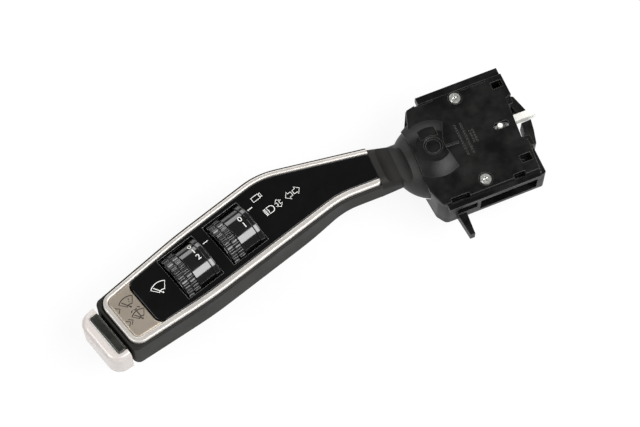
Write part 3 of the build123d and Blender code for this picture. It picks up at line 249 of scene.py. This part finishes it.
def naturalAcetal():
    # undyed acetal: milky off-white, waxy, slightly translucent
    # the mould's grain is about 0.1 mm, drawn at 0.5 mm so that it shows
    material, tree, principled, place = startMaterial("naturalAcetal", IOR=1.48, Subsurface_Weight=0.15)
    principled.inputs["Subsurface Radius"].default_value = (0.002, 0.0018, 0.0014)
    cloud = grain(tree, place, size=5.0, detail=3.0)
    tint(tree, principled, cloud, "#f0efe8", "#f8f7f2")
    roughen(tree, principled, cloud, smooth=0.36, rough=0.46)
    bump(tree, principled, grain(tree, place, size=0.5, detail=2.0), depth=0.012, strength=0.35)
    return material


def zincPlatedSteel():
    # bright zinc plate on steel: silver with small blotches from handling
    # the plate's crystals are under 0.05 mm, drawn at 0.4 mm so that they show
    material, tree, principled, place = startMaterial("zincPlatedSteel", Metallic=0.75)
    blotch = grain(tree, place, size=1.2, detail=4.0, rough=0.6)
    tint(tree, principled, blotch, "#c4c4c1", "#e0dfdb")
    roughen(tree, principled, blotch, smooth=0.2, rough=0.36)
    bump(tree, principled, grain(tree, place, size=0.4, detail=2.0), depth=0.01, strength=0.35)
    return material


def drawnSpringWire():
    # drawn music wire: grey steel with fine drawing lines
    # the die's lines are about 0.02 mm apart, drawn at 0.3 mm so that they show
    material, tree, principled, place = startMaterial("drawnSpringWire", Metallic=1.0)
    lines = grain(tree, place, size=0.3, detail=2.0, rough=0.5, stretch=(1, 1, 0.2))
    tint(tree, principled, lines, "#8f8f92", "#aaaaad")
    roughen(tree, principled, lines, smooth=0.28, rough=0.42)
    bump(tree, principled, lines, depth=0.004, strength=0.3)
    return material


def dieCastZinc():
    # die cast zinc alloy as it leaves the mould: dull grey with a cloudy skin
    material, tree, principled, place = startMaterial("dieCastZinc", Metallic=1.0)
    skin = grain(tree, place, size=4.0, detail=5.0, rough=0.65)
    tint(tree, principled, skin, "#8d8d8f", "#a6a6a8")
    roughen(tree, principled, skin, smooth=0.42, rough=0.58)
    bump(tree, principled, grain(tree, place, size=0.6, detail=3.0), depth=0.02, strength=0.5)
    return material


def tinnedBrass():
    # brass pins under thin tin: pale gold, polished by the press tool
    # the tin's grain is about 0.05 mm, drawn at 0.4 mm so that it shows
    material, tree, principled, place = startMaterial("tinnedBrass", Metallic=1.0)
    wear = grain(tree, place, size=1.5, detail=3.0)
    tint(tree, principled, wear, "#cdb987", "#d9d0b4")
    roughen(tree, principled, wear, smooth=0.2, rough=0.34)
    bump(tree, principled, grain(tree, place, size=0.4, detail=2.0), depth=0.006, strength=0.3)
    return material


def glassEpoxyBoard():
    # glass epoxy laminate under green solder mask: the weave shows as a faint grid
    # a wave repeats every 0.314 of its size, so threads lie 1.26 mm apart, coarser than the real 0.5 mm
    threadSize = 4.0
    material, tree, principled, place = startMaterial("glassEpoxyBoard", IOR=1.55)
    warp = addNode(tree, "ShaderNodeTexWave", None, Vector=place, Scale=perMm(threadSize), Distortion=0.4)
    weft = addNode(tree, "ShaderNodeTexWave", {"bands_direction": "Y"}, Vector=place,
                   Scale=perMm(threadSize), Distortion=0.4)
    weave = addNode(tree, "ShaderNodeMath", {"operation": "MULTIPLY"}, i0=warp.outputs["Fac"],
                    i1=weft.outputs["Fac"])
    tint(tree, principled, weave.outputs["Value"], "#17492c", "#226640", low=0.0, high=1.0)
    roughen(tree, principled, grain(tree, place, size=3.0, detail=3.0), smooth=0.25, rough=0.4)
    bump(tree, principled, weave.outputs["Value"], depth=0.01, strength=0.3)
    return material


def mouldedEpoxy():
    # transfer moulded epoxy on chips and the switch: charcoal, matte
    # its filler shows as grains of about 0.05 mm, drawn at 0.25 mm
    material, tree, principled, place = startMaterial("mouldedEpoxy", IOR=1.55)
    cloud = grain(tree, place, size=1.5, detail=3.0)
    tint(tree, principled, cloud, "#202022", "#2b2b2d")
    roughen(tree, principled, cloud, smooth=0.5, rough=0.64)
    bump(tree, principled, grain(tree, place, size=0.25, detail=2.0), depth=0.01, strength=0.4)
    return material


def sinteredFerrite():
    # sintered ferrite: dark grey, ground faces with pores
    # real pores are about 0.1 mm, drawn at 0.5 mm so that they show
    material, tree, principled, place = startMaterial("sinteredFerrite", Metallic=0.6)
    pores = addNode(tree, "ShaderNodeTexVoronoi", None, Vector=place, Scale=perMm(0.5))
    tint(tree, principled, pores.outputs["Distance"], "#3a3a3d", "#59595c", low=0.1, high=0.6)
    roughen(tree, principled, grain(tree, place, size=1.0, detail=3.0), smooth=0.4, rough=0.6)
    bump(tree, principled, pores.outputs["Distance"], depth=0.02, strength=0.4)
    return material


def printedInk(name, colour, shade):
    # pad printed ink: even colour, thin, slightly mottled where it lies thinner
    material, tree, principled, place = startMaterial(name, IOR=1.5)
    tint(tree, principled, grain(tree, place, size=0.8, detail=3.0), colour, shade)
    roughen(tree, principled, grain(tree, place, size=0.5, detail=2.0), smooth=0.4, rough=0.55)
    bump(tree, principled, grain(tree, place, size=0.3, detail=2.0), depth=0.005, strength=0.3)
    return material


finishes = {
    "head_plastic": glassFilledNylon(),
    "grip_plastic": softTouchPaint(),
    "gloss_black": pianoLacquer(),
    "dial_knurl": mouldedKnurl(),
    "satin_nickel": satinNickel(),
    "champagne": champagneAnodise(),
    "pearl_plastic": pearlPaint(),
    "natural_plastic": naturalAcetal(),
    "screw_steel": zincPlatedSteel(),
    "spring_steel": drawnSpringWire(),
    "zinc_alloy": dieCastZinc(),
    "contact_metal": tinnedBrass(),
    "board_laminate": glassEpoxyBoard(),
    "chip_black": mouldedEpoxy(),
    "magnet_dark": sinteredFerrite(),
}
whiteInk = printedInk("whiteInk", "#e8e8e4", "#f4f4f0")
brownInk = printedInk("brownInk", "#2a221c", "#382e27")

barrelFinish = dialLacquer()
ownFinishes = {
    "dome_shroud": mattAcetal(),
    "wiper_dial_barrel": barrelFinish,
    "rear_dial_barrel": barrelFinish,
}

for part in frame["record"]["subparts"]:
    node = frame["nodes"][part["node"]]
    for slot in node.material_slots:
        slot.material = ownFinishes.get(part["node"], finishes[part["material_slot"]])
print("materials on", len(frame["nodes"]), "CAD nodes")


# The grip's own directions, as in the CAD: along runs to the tip, across to the far side

gripOrigin = Vector((-61.5, 5.5, 0))
leverDir = Vector((math.cos(crank), math.sin(crank), 0))
acrossDir = Vector((-leverDir.y, leverDir.x, 0))


def gripPoint(along, across, height):
    return (gripOrigin - leverDir * along + acrossDir * across + Vector((0, 0, height))) / mmPerMetre


def topOf(node):
    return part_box(node)[1][2] * mmPerMetre


# Printed signs: ink lines on the panel and the end plate, drawn flat and pressed on at their place

signs = {
    "inkRise": 0.02,
    "arcSteps": 12,
    "fanAngle": 38.0,
    "fanOuter": 6.0,
    "fanInner": 2.2,
    "fanMiddle": 3.3,
    "hub": (0.0, 0.85),
    "hubRadius": 0.22,
    "bladeEnd": (-2.2, 4.9),
    "markAcross": 6.4,
    "markLength": 2.6,
    "markLine": 0.5,
    "markPlaces": (44.0, 19.9),
    "arrowLength": 3.3,
    "arrowHalf": 2.0,
    "arrowStem": 0.95,
    "carriers": {
        # node: ink, material slot
        "face_panel": (whiteInk, "gloss_black"),
        "end_plate": (brownInk, "champagne"),
    },
    "places": {
        # sign: carrier, along, across, scale, line width
        "wiper_sign": ("face_panel", 71.6, 2.2, 1.0, 0.4),
        "back_window_sign": ("face_panel", 14.2, 8.8, 1.0, 0.4),
        "lamp_sign": ("face_panel", 13.9, 0.7, 0.92, 0.4),
        "lamp_beam_bars": ("face_panel", 13.9, 0.7, 0.92, 0.2),
        "up_down_arrow": ("face_panel", 8.8, 0.7, 0.9, 0.4),
        "turn_arrow_left": ("face_panel", 3.3, 0.7, 1.0, 0.4),
        "turn_arrow_right": ("face_panel", -0.9, 0.7, 1.0, 0.4),
        "single_wipe_sign": ("end_plate", 86.0, 5.6, 0.95, 0.44),
        "wash_sign": ("end_plate", 85.3, -1.9, 0.84, 0.44),
        "single_chevron": ("end_plate", 90.9, 5.3, 1.0, 0.4),
        "double_chevron": ("end_plate", 90.3, -2.0, 1.0, 0.4),
    },
}


def arcPoints(radius, start, end, middle=(0, 0)):
    # angles in degrees from straight up, clockwise
    steps = signs["arcSteps"]
    turns = [math.radians(start + (end - start) * i / steps) for i in range(steps + 1)]
    return [(middle[0] + radius * math.sin(t), middle[1] + radius * math.cos(t)) for t in turns]


def selectOnly(piece):
    bpy.ops.object.select_all(action="DESELECT")
    piece.select_set(True)
    bpy.context.view_layer.objects.active = piece


def pressInk(name, lines, width, carrier, along, across):
    # lines are lists of points in mm, x towards the head and y towards the far side
    # a closed line ends as it starts
    ink, slot = signs["carriers"][carrier]
    place = gripPoint(along, across, topOf(carrier))
    curve = bpy.data.curves.new(name, "CURVE")
    curve.dimensions = "3D"
    curve.bevel_depth = mm(width / 2)
    curve.bevel_resolution = 1
    curve.use_fill_caps = True
    for points in lines:
        closed = points[0] == points[-1]
        points = points[:-1] if closed else points
        spline = curve.splines.new("POLY")
        spline.points.add(len(points) - 1)
        for point, (x, y) in zip(spline.points, points):
            point.co = (mm(x), mm(y), 0, 1)
        spline.use_cyclic_u = closed
    piece = bpy.data.objects.new(name, curve)
    bpy.context.collection.objects.link(piece)
    selectOnly(piece)
    bpy.ops.object.convert(target="MESH")
    piece = bpy.context.object
    flatten = Matrix.Diagonal((1, 1, 2 * signs["inkRise"] / width, 1))
    piece.data.transform(Matrix.Translation(place) @ Matrix.Rotation(crank, 4, "Z") @ flatten)
    piece.data.materials.clear()
    piece.data.materials.append(ink)
    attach(piece, "lever")


def movedLines(lines, x=0.0, y=0.0, scale=1.0):
    return [[(x + scale * px, y + scale * py) for px, py in points] for points in lines]


def screenFan():
    # a windscreen seen from the front: two arcs joined at their ends
    half = signs["fanAngle"]
    outline = arcPoints(signs["fanOuter"], -half, half) + arcPoints(signs["fanInner"], half, -half)
    return [outline + outline[:1]]


def wiperSign():
    hubRing = arcPoints(signs["hubRadius"], 0, 360, signs["hub"])
    blade = [signs["hub"], signs["bladeEnd"]]
    return movedLines(screenFan() + [blade, hubRing], y=-signs["fanMiddle"])


def restingWiperSign():
    # the wiper sign with a broken second stroke, for single sweeps
    dashes = [[(0.7, 3.0), (0.95, 3.6)], [(1.15, 4.1), (1.4, 4.7)]]
    return wiperSign() + movedLines(dashes, y=-signs["fanMiddle"])


def washSign():
    # the wiper sign under two short sprays
    top = signs["fanOuter"]
    sprayRadius = 1.25
    sprayMiddle = (1.35, top + 0.15)
    sprays = []
    for side in (-1, 1):
        for start, end in ((-80, -25), (0, 70)):
            spray = arcPoints(sprayRadius, start, end, sprayMiddle)
            sprays.append([(side * x, y) for x, y in spray])
    jet = [(0.0, 2.4), (0.0, top)]
    return wiperSign() + movedLines(sprays + [jet], y=-signs["fanMiddle"])


def chevron():
    return [[(-0.8, 1.4), (0.75, 0), (-0.8, -1.4)]]


def arrowOutline(way=1):
    # way -1 points to the other side
    half = signs["arrowLength"] / 2
    tip = signs["arrowHalf"]
    stem = signs["arrowStem"]
    side = [(-half, 0), (0.15, tip), (0.15, stem), (half, stem)]
    outline = side + [(x, -y) for x, y in reversed(side)]
    return [[(way * x, y) for x, y in outline]]


def upDownArrow():
    # one arrow with a head at each end
    quarter = [(0, 2.2), (1.75, 0.75), (0.62, 0.75)]
    right = quarter + [(x, -y) for x, y in reversed(quarter)]
    whole = right + [(-x, -y) for x, y in right[1:-1]]
    return [whole + whole[:1]]


def lampSign():
    # a lamp's bowl with five beams
    half = 1.75
    bowl = [(-0.6, half)] + arcPoints(half, 12, 168, (0.9, 0)) + [(-0.6, -half), (-0.35, 0), (-0.6, half)]
    beams = [[(-2.6, y), (-1.2, y)] for y in (-1.6, -0.8, 0.0, 0.8, 1.6)]
    return [bowl] + beams


def lampBars():
    # thin bars across the beams
    return [[(x, -1.6), (x, 1.6)] for x in (-2.2, -1.6)]


def backWindowSign():
    # a screen with a small lens beside it
    screen = [(-2.5, -1.1), (-2.5, 1.1), (1.1, 1.1), (1.1, -1.1), (-2.5, -1.1)]
    lens = [(1.1, -0.4), (2.1, -1.0), (2.1, 1.0), (1.1, 0.4)]
    return [screen, lens]


def printSigns():
    drawings = {
        "wiper_sign": wiperSign(),
        "back_window_sign": backWindowSign(),
        "lamp_sign": lampSign(),
        "lamp_beam_bars": lampBars(),
        "up_down_arrow": upDownArrow(),
        "turn_arrow_left": arrowOutline(),
        "turn_arrow_right": arrowOutline(-1),
        "single_wipe_sign": restingWiperSign(),
        "wash_sign": washSign(),
        "single_chevron": chevron(),
        "double_chevron": movedLines(chevron(), -0.65) + movedLines(chevron(), 0.65),
    }
    markHalf = signs["markLength"] / 2
    mark = [[(-markHalf, 0), (markHalf, 0)]]
    for number, along in enumerate(signs["markPlaces"], 1):
        pressInk("dial_mark_" + str(number), mark, signs["markLine"], "face_panel", along,
                 signs["markAcross"])
    for name, (carrier, along, across, scale, width) in signs["places"].items():
        pressInk(name, movedLines(drawings[name], scale=scale), width, carrier, along, across)


printSigns()
print("printed signs")


# Plain numbers on the dials, wrapped on the barrels

numbers = {
    "height": 2.9,
    "bodyShare": 1.3,  # text size over the height of a digit
    "bolder": 0.04,
    "rise": 0.03,
    "hover": 0.3,  # over the barrel before the wrap
    "cuts": 5,
    "dialAxis": (1.45, 13.8),
    "barrelRadius": 11.0,
    "wiper_dial": (("2", 51.4, 1.2), ("1", 51.4, 4.8), ("0", 51.4, 8.0)),
    "rear_dial": (("1", 27.4, 0.2), ("0", 27.4, 3.7)),
}


def wrapNumber(name, digit, along, across, barrel, body):
    bpy.ops.object.text_add(location=(0, 0, 0))
    piece = bpy.context.object
    piece.name = name
    piece.data.body = digit
    piece.data.size = mm(numbers["height"] * numbers["bodyShare"])
    piece.data.align_x = "CENTER"
    piece.data.align_y = "CENTER"
    piece.data.offset = mm(numbers["bolder"])
    selectOnly(piece)
    bpy.ops.object.convert(target="MESH")
    piece = bpy.context.object
    bpy.ops.object.mode_set(mode="EDIT")
    for number in range(1, numbers["cuts"]):
        y = mm(numbers["height"] * (number / numbers["cuts"] - 0.5))
        bpy.ops.mesh.select_all(action="SELECT")
        bpy.ops.mesh.bisect(plane_co=(0, y, 0), plane_no=(0, 1, 0))
    bpy.ops.object.mode_set(mode="OBJECT")
    axisAcross, axisHeight = numbers["dialAxis"]
    lean = math.asin((across - axisAcross) / numbers["barrelRadius"])
    height = axisHeight + numbers["barrelRadius"] * math.cos(lean) + numbers["hover"]
    turn = Matrix.Rotation(crank, 4, "Z") @ Matrix.Rotation(-lean, 4, "X")
    piece.data.transform(Matrix.Translation(gripPoint(along, across, height)) @ turn)
    wrap = piece.modifiers.new("wrap", "SHRINKWRAP")
    wrap.target = frame["nodes"][barrel]
    wrap.wrap_method = "NEAREST_SURFACEPOINT"
    wrap.wrap_mode = "ABOVE_SURFACE"
    wrap.offset = mm(numbers["rise"])
    bpy.ops.object.modifier_apply(modifier="wrap")
    ink = piece.modifiers.new("ink", "SOLIDIFY")
    ink.thickness = mm(2 * numbers["rise"])
    ink.offset = -1
    bpy.ops.object.modifier_apply(modifier="ink")
    piece.data.materials.clear()
    piece.data.materials.append(whiteInk)
    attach(piece, body)


for dial in ("wiper_dial", "rear_dial"):
    for digit, along, across in numbers[dial]:
        wrapNumber(dial + "_number_" + digit, digit, along, across, dial + "_barrel", dial)
print("numbers on the dials")


# Polished beads at the two edges of each dial's flange, which catch the light as thin curved lines

dialBeads = {
    "centres": {"wiper_dial": 56.0, "rear_dial": 31.8},
    "fromCentre": (-6.62, -8.3),
    "radius": 11.42,
    "beadRadius": 0.17,
    "stretch": 1.3,
    "roundSteps": 120,
    "tubeSteps": 8,
}


def flangeBead(name, along, body):
    bpy.ops.object.select_all(action="DESELECT")
    bpy.ops.mesh.primitive_torus_add(location=(0, 0, 0), major_radius=mm(dialBeads["radius"]),
                                     minor_radius=mm(dialBeads["beadRadius"]),
                                     major_segments=dialBeads["roundSteps"],
                                     minor_segments=dialBeads["tubeSteps"])
    bead = bpy.context.object
    bead.name = name
    bpy.ops.object.mode_set(mode="EDIT")
    bpy.ops.mesh.select_all(action="SELECT")
    bpy.ops.transform.resize(value=(1, 1, dialBeads["stretch"]))
    bpy.ops.object.mode_set(mode="OBJECT")
    axisAcross, axisHeight = numbers["dialAxis"]
    upright = Matrix.Rotation(crank, 4, "Z") @ Matrix.Rotation(math.radians(90), 4, "Y")
    bead.data.transform(Matrix.Translation(gripPoint(along, axisAcross, axisHeight)) @ upright)
    bpy.ops.object.shade_smooth()
    bead.data.materials.append(barrelFinish)
    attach(bead, body)


for dial, centre in dialBeads["centres"].items():
    for number, offset in enumerate(dialBeads["fromCentre"], 1):
        flangeBead(dial + "_bead_" + str(number), centre + offset, dial)
print("beads on the dials")


# Smoked window on the end button, over its inlay, with a white strip at the tip side that is a painted
# highlight of the edge there

buttonWindow = {
    "seat": 0.01,  # over the cap's top
    "cornerSteps": 5,
    "edgeSteps": 3,
    "pane": {"along": (98.4, 102.5), "across": (-9.8, 10.5), "height": 0.3, "corner": 0.9, "edge": 0.14},
    # the rim is a white ink strip, a painted highlight along the window's tip edge
    "rim": {"along": (102.5, 102.9), "across": (-9.0, 9.7), "height": 0.38, "corner": 0.12, "edge": 0.08},
}


def smokedWindow():
    # smoked polycarbonate, polished: dark olive grey with a faint ripple
    material, tree, principled, place = startMaterial("smokedWindow", IOR=1.585, Specular_IOR_Level=0.8)
    ripple = grain(tree, place, size=4.0, detail=2.0)
    # the pale edge colour #8d8c86 is a painted highlight along the window's edges
    tint(tree, principled, ripple, "#1b1c18", "#2c2e29", low=0.3, high=0.7, edge=(0.25, "#8d8c86"))
    roughen(tree, principled, ripple, smooth=0.08, rough=0.18)
    bump(tree, principled, ripple, depth=0.05, strength=0.4, edge=0.2)
    return material


def flatBlock(name, block, finish):
    # a low block between two places along and across, with its upright corners and its edges rounded
    along, across, height = block["along"], block["across"], block["height"]
    length = along[1] - along[0]
    width = across[1] - across[0]
    bottom = topOf("end_button_cap") + buttonWindow["seat"]
    bpy.ops.object.select_all(action="DESELECT")
    bpy.ops.mesh.primitive_cube_add(size=1, location=(0, 0, 0))
    piece = bpy.context.object
    piece.name = name
    bpy.ops.object.mode_set(mode="EDIT")
    bpy.ops.mesh.select_all(action="SELECT")
    bpy.ops.transform.resize(value=(mm(length), mm(width), mm(height)))
    bpy.ops.object.mode_set(mode="OBJECT")
    for edgeLine in piece.data.edges:
        ends = [piece.data.vertices[i].co for i in edgeLine.vertices]
        edgeLine.select = abs(ends[0].z - ends[1].z) > mm(height) / 2
    for face in piece.data.polygons:
        face.select = False
    for point in piece.data.vertices:
        point.select = False
    bpy.ops.object.mode_set(mode="EDIT")
    bpy.ops.mesh.select_mode(type="EDGE")
    bpy.ops.mesh.bevel(offset=mm(block["corner"]), segments=buttonWindow["cornerSteps"])
    bpy.ops.object.mode_set(mode="OBJECT")
    soften = piece.modifiers.new("edge", "BEVEL")
    soften.width = mm(block["edge"])
    soften.segments = buttonWindow["edgeSteps"]
    soften.limit_method = "ANGLE"
    soften.angle_limit = math.radians(60)
    bpy.ops.object.modifier_apply(modifier="edge")
    middle = gripPoint((along[0] + along[1]) / 2, (across[0] + across[1]) / 2, bottom + height / 2)
    piece.data.transform(Matrix.Translation(middle) @ Matrix.Rotation(crank, 4, "Z"))
    bpy.ops.object.shade_smooth_by_angle(angle=math.radians(35))
    piece.data.materials.append(finish)
    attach(piece, "end_button")


flatBlock("button_window", buttonWindow["pane"], smokedWindow())
# painted highlight: a white strip where the edge at the tip side catches the light
flatBlock("button_window_painted_highlight", buttonWindow["rim"], whiteInk)
print("button window")


# Studio and camera

studio = {
    "floorSize": 4.0,  # metres, as lamps and their places are
    "floorDrop": 13.2,  # below the head's base, so that the lever's tip clears the floor when it tilts down
    "floorGlow": 1.03,
    "glowShare": 0.86,
    "lookAt": (-0.05, 0.0, 0.015),
    "worldStrength": 0.16,
    "lamps": {
        # lamp: direction, distance, width and length, watts
        "nearSoftbox": ((0.40, -0.43, 0.81), 0.75, (0.62, 0.4), 5.8),
        "leftSoftbox": ((-0.75, -0.1, 0.65), 0.8, (0.4, 0.4), 2.4),
        "farSoftbox": ((0.1, 0.9, 0.42), 0.8, (0.9, 0.3), 2.6),
    },
}


def paleFloor():
    # matt paper that glows white to the camera and in reflections, and still takes the shadow
    bpy.ops.mesh.primitive_plane_add(size=studio["floorSize"], location=(0, 0, mm(-studio["floorDrop"])))
    floor = bpy.context.object
    floor.name = "floor"
    material, tree, principled, place = startMaterial("paleFloor")
    output = tree.nodes["Material Output"]
    cloud = grain(tree, place, size=60.0, detail=2.0)
    tint(tree, principled, cloud, "#e9e9e9", "#efefef")
    roughen(tree, principled, cloud, smooth=0.7, rough=0.8)
    rays = addNode(tree, "ShaderNodeLightPath")
    seen = addNode(tree, "ShaderNodeMath", {"operation": "MAXIMUM"}, i0=rays.outputs["Is Camera Ray"],
                   i1=rays.outputs["Is Glossy Ray"])
    seenToo = addNode(tree, "ShaderNodeMath", {"operation": "MAXIMUM"}, i0=seen.outputs["Value"],
                      i1=rays.outputs["Is Transmission Ray"])
    share = addNode(tree, "ShaderNodeMath", {"operation": "MULTIPLY"}, i0=seenToo.outputs["Value"],
                    i1=studio["glowShare"])
    glow = addNode(tree, "ShaderNodeEmission", None, Color=linear("#ffffff"), Strength=studio["floorGlow"])
    mixed = addNode(tree, "ShaderNodeMixShader", None, Fac=share.outputs["Value"],
                    i1=principled.outputs["BSDF"], i2=glow.outputs["Emission"])
    tree.links.new(mixed.outputs["Shader"], output.inputs["Surface"])
    floor.data.materials.append(material)


def softbox(name, towards, distance, size, power):
    place = Vector(studio["lookAt"]) + Vector(towards).normalized() * distance
    bpy.ops.object.light_add(type="AREA", location=place)
    lamp = bpy.context.object
    lamp.name = name
    lamp.data.shape = "RECTANGLE"
    lamp.data.size, lamp.data.size_y = size
    lamp.data.energy = power
    lamp.rotation_euler = (Vector(studio["lookAt"]) - place).to_track_quat("-Z", "Y").to_euler()


def worldLight():
    world = bpy.data.worlds.new("studioWorld")
    bpy.context.scene.world = world
    world.use_nodes = True
    background = world.node_tree.nodes["Background"]
    background.inputs["Color"].default_value = (1, 1, 1, 1)
    background.inputs["Strength"].default_value = studio["worldStrength"]


photoView = {
    "target": (-54.0, -3.58, 10.0),
    "distance": 900.0,
    "azimuth": -22.8,
    "elevation": 66.0,
    "frameWidth": 640 * 0.43,  # pixels across, and millimetres a pixel
    "sensor": 36.0,
    "clipStart": 10.0,
}


def photoCamera():
    bpy.ops.object.camera_add()
    camera = bpy.context.object
    camera.name = "photoCamera"
    azimuth = math.radians(photoView["azimuth"])
    elevation = math.radians(photoView["elevation"])
    back = Vector((math.sin(azimuth) * math.cos(elevation), -math.cos(azimuth) * math.cos(elevation),
                   math.sin(elevation)))
    camera.data.sensor_width = photoView["sensor"]
    camera.data.lens = photoView["sensor"] * photoView["distance"] / photoView["frameWidth"]
    camera.location = (Vector(photoView["target"]) + back * photoView["distance"]) / mmPerMetre
    camera.rotation_euler = (-back).to_track_quat("-Z", "Y").to_euler()
    camera.data.clip_start = mm(photoView["clipStart"])
    bpy.context.scene.camera = camera


paleFloor()
for lampName, (towards, distance, size, power) in studio["lamps"].items():
    softbox(lampName, towards, distance, size, power)
worldLight()
photoCamera()
bpy.context.scene.view_settings.view_transform = "Standard"
print("studio and camera")
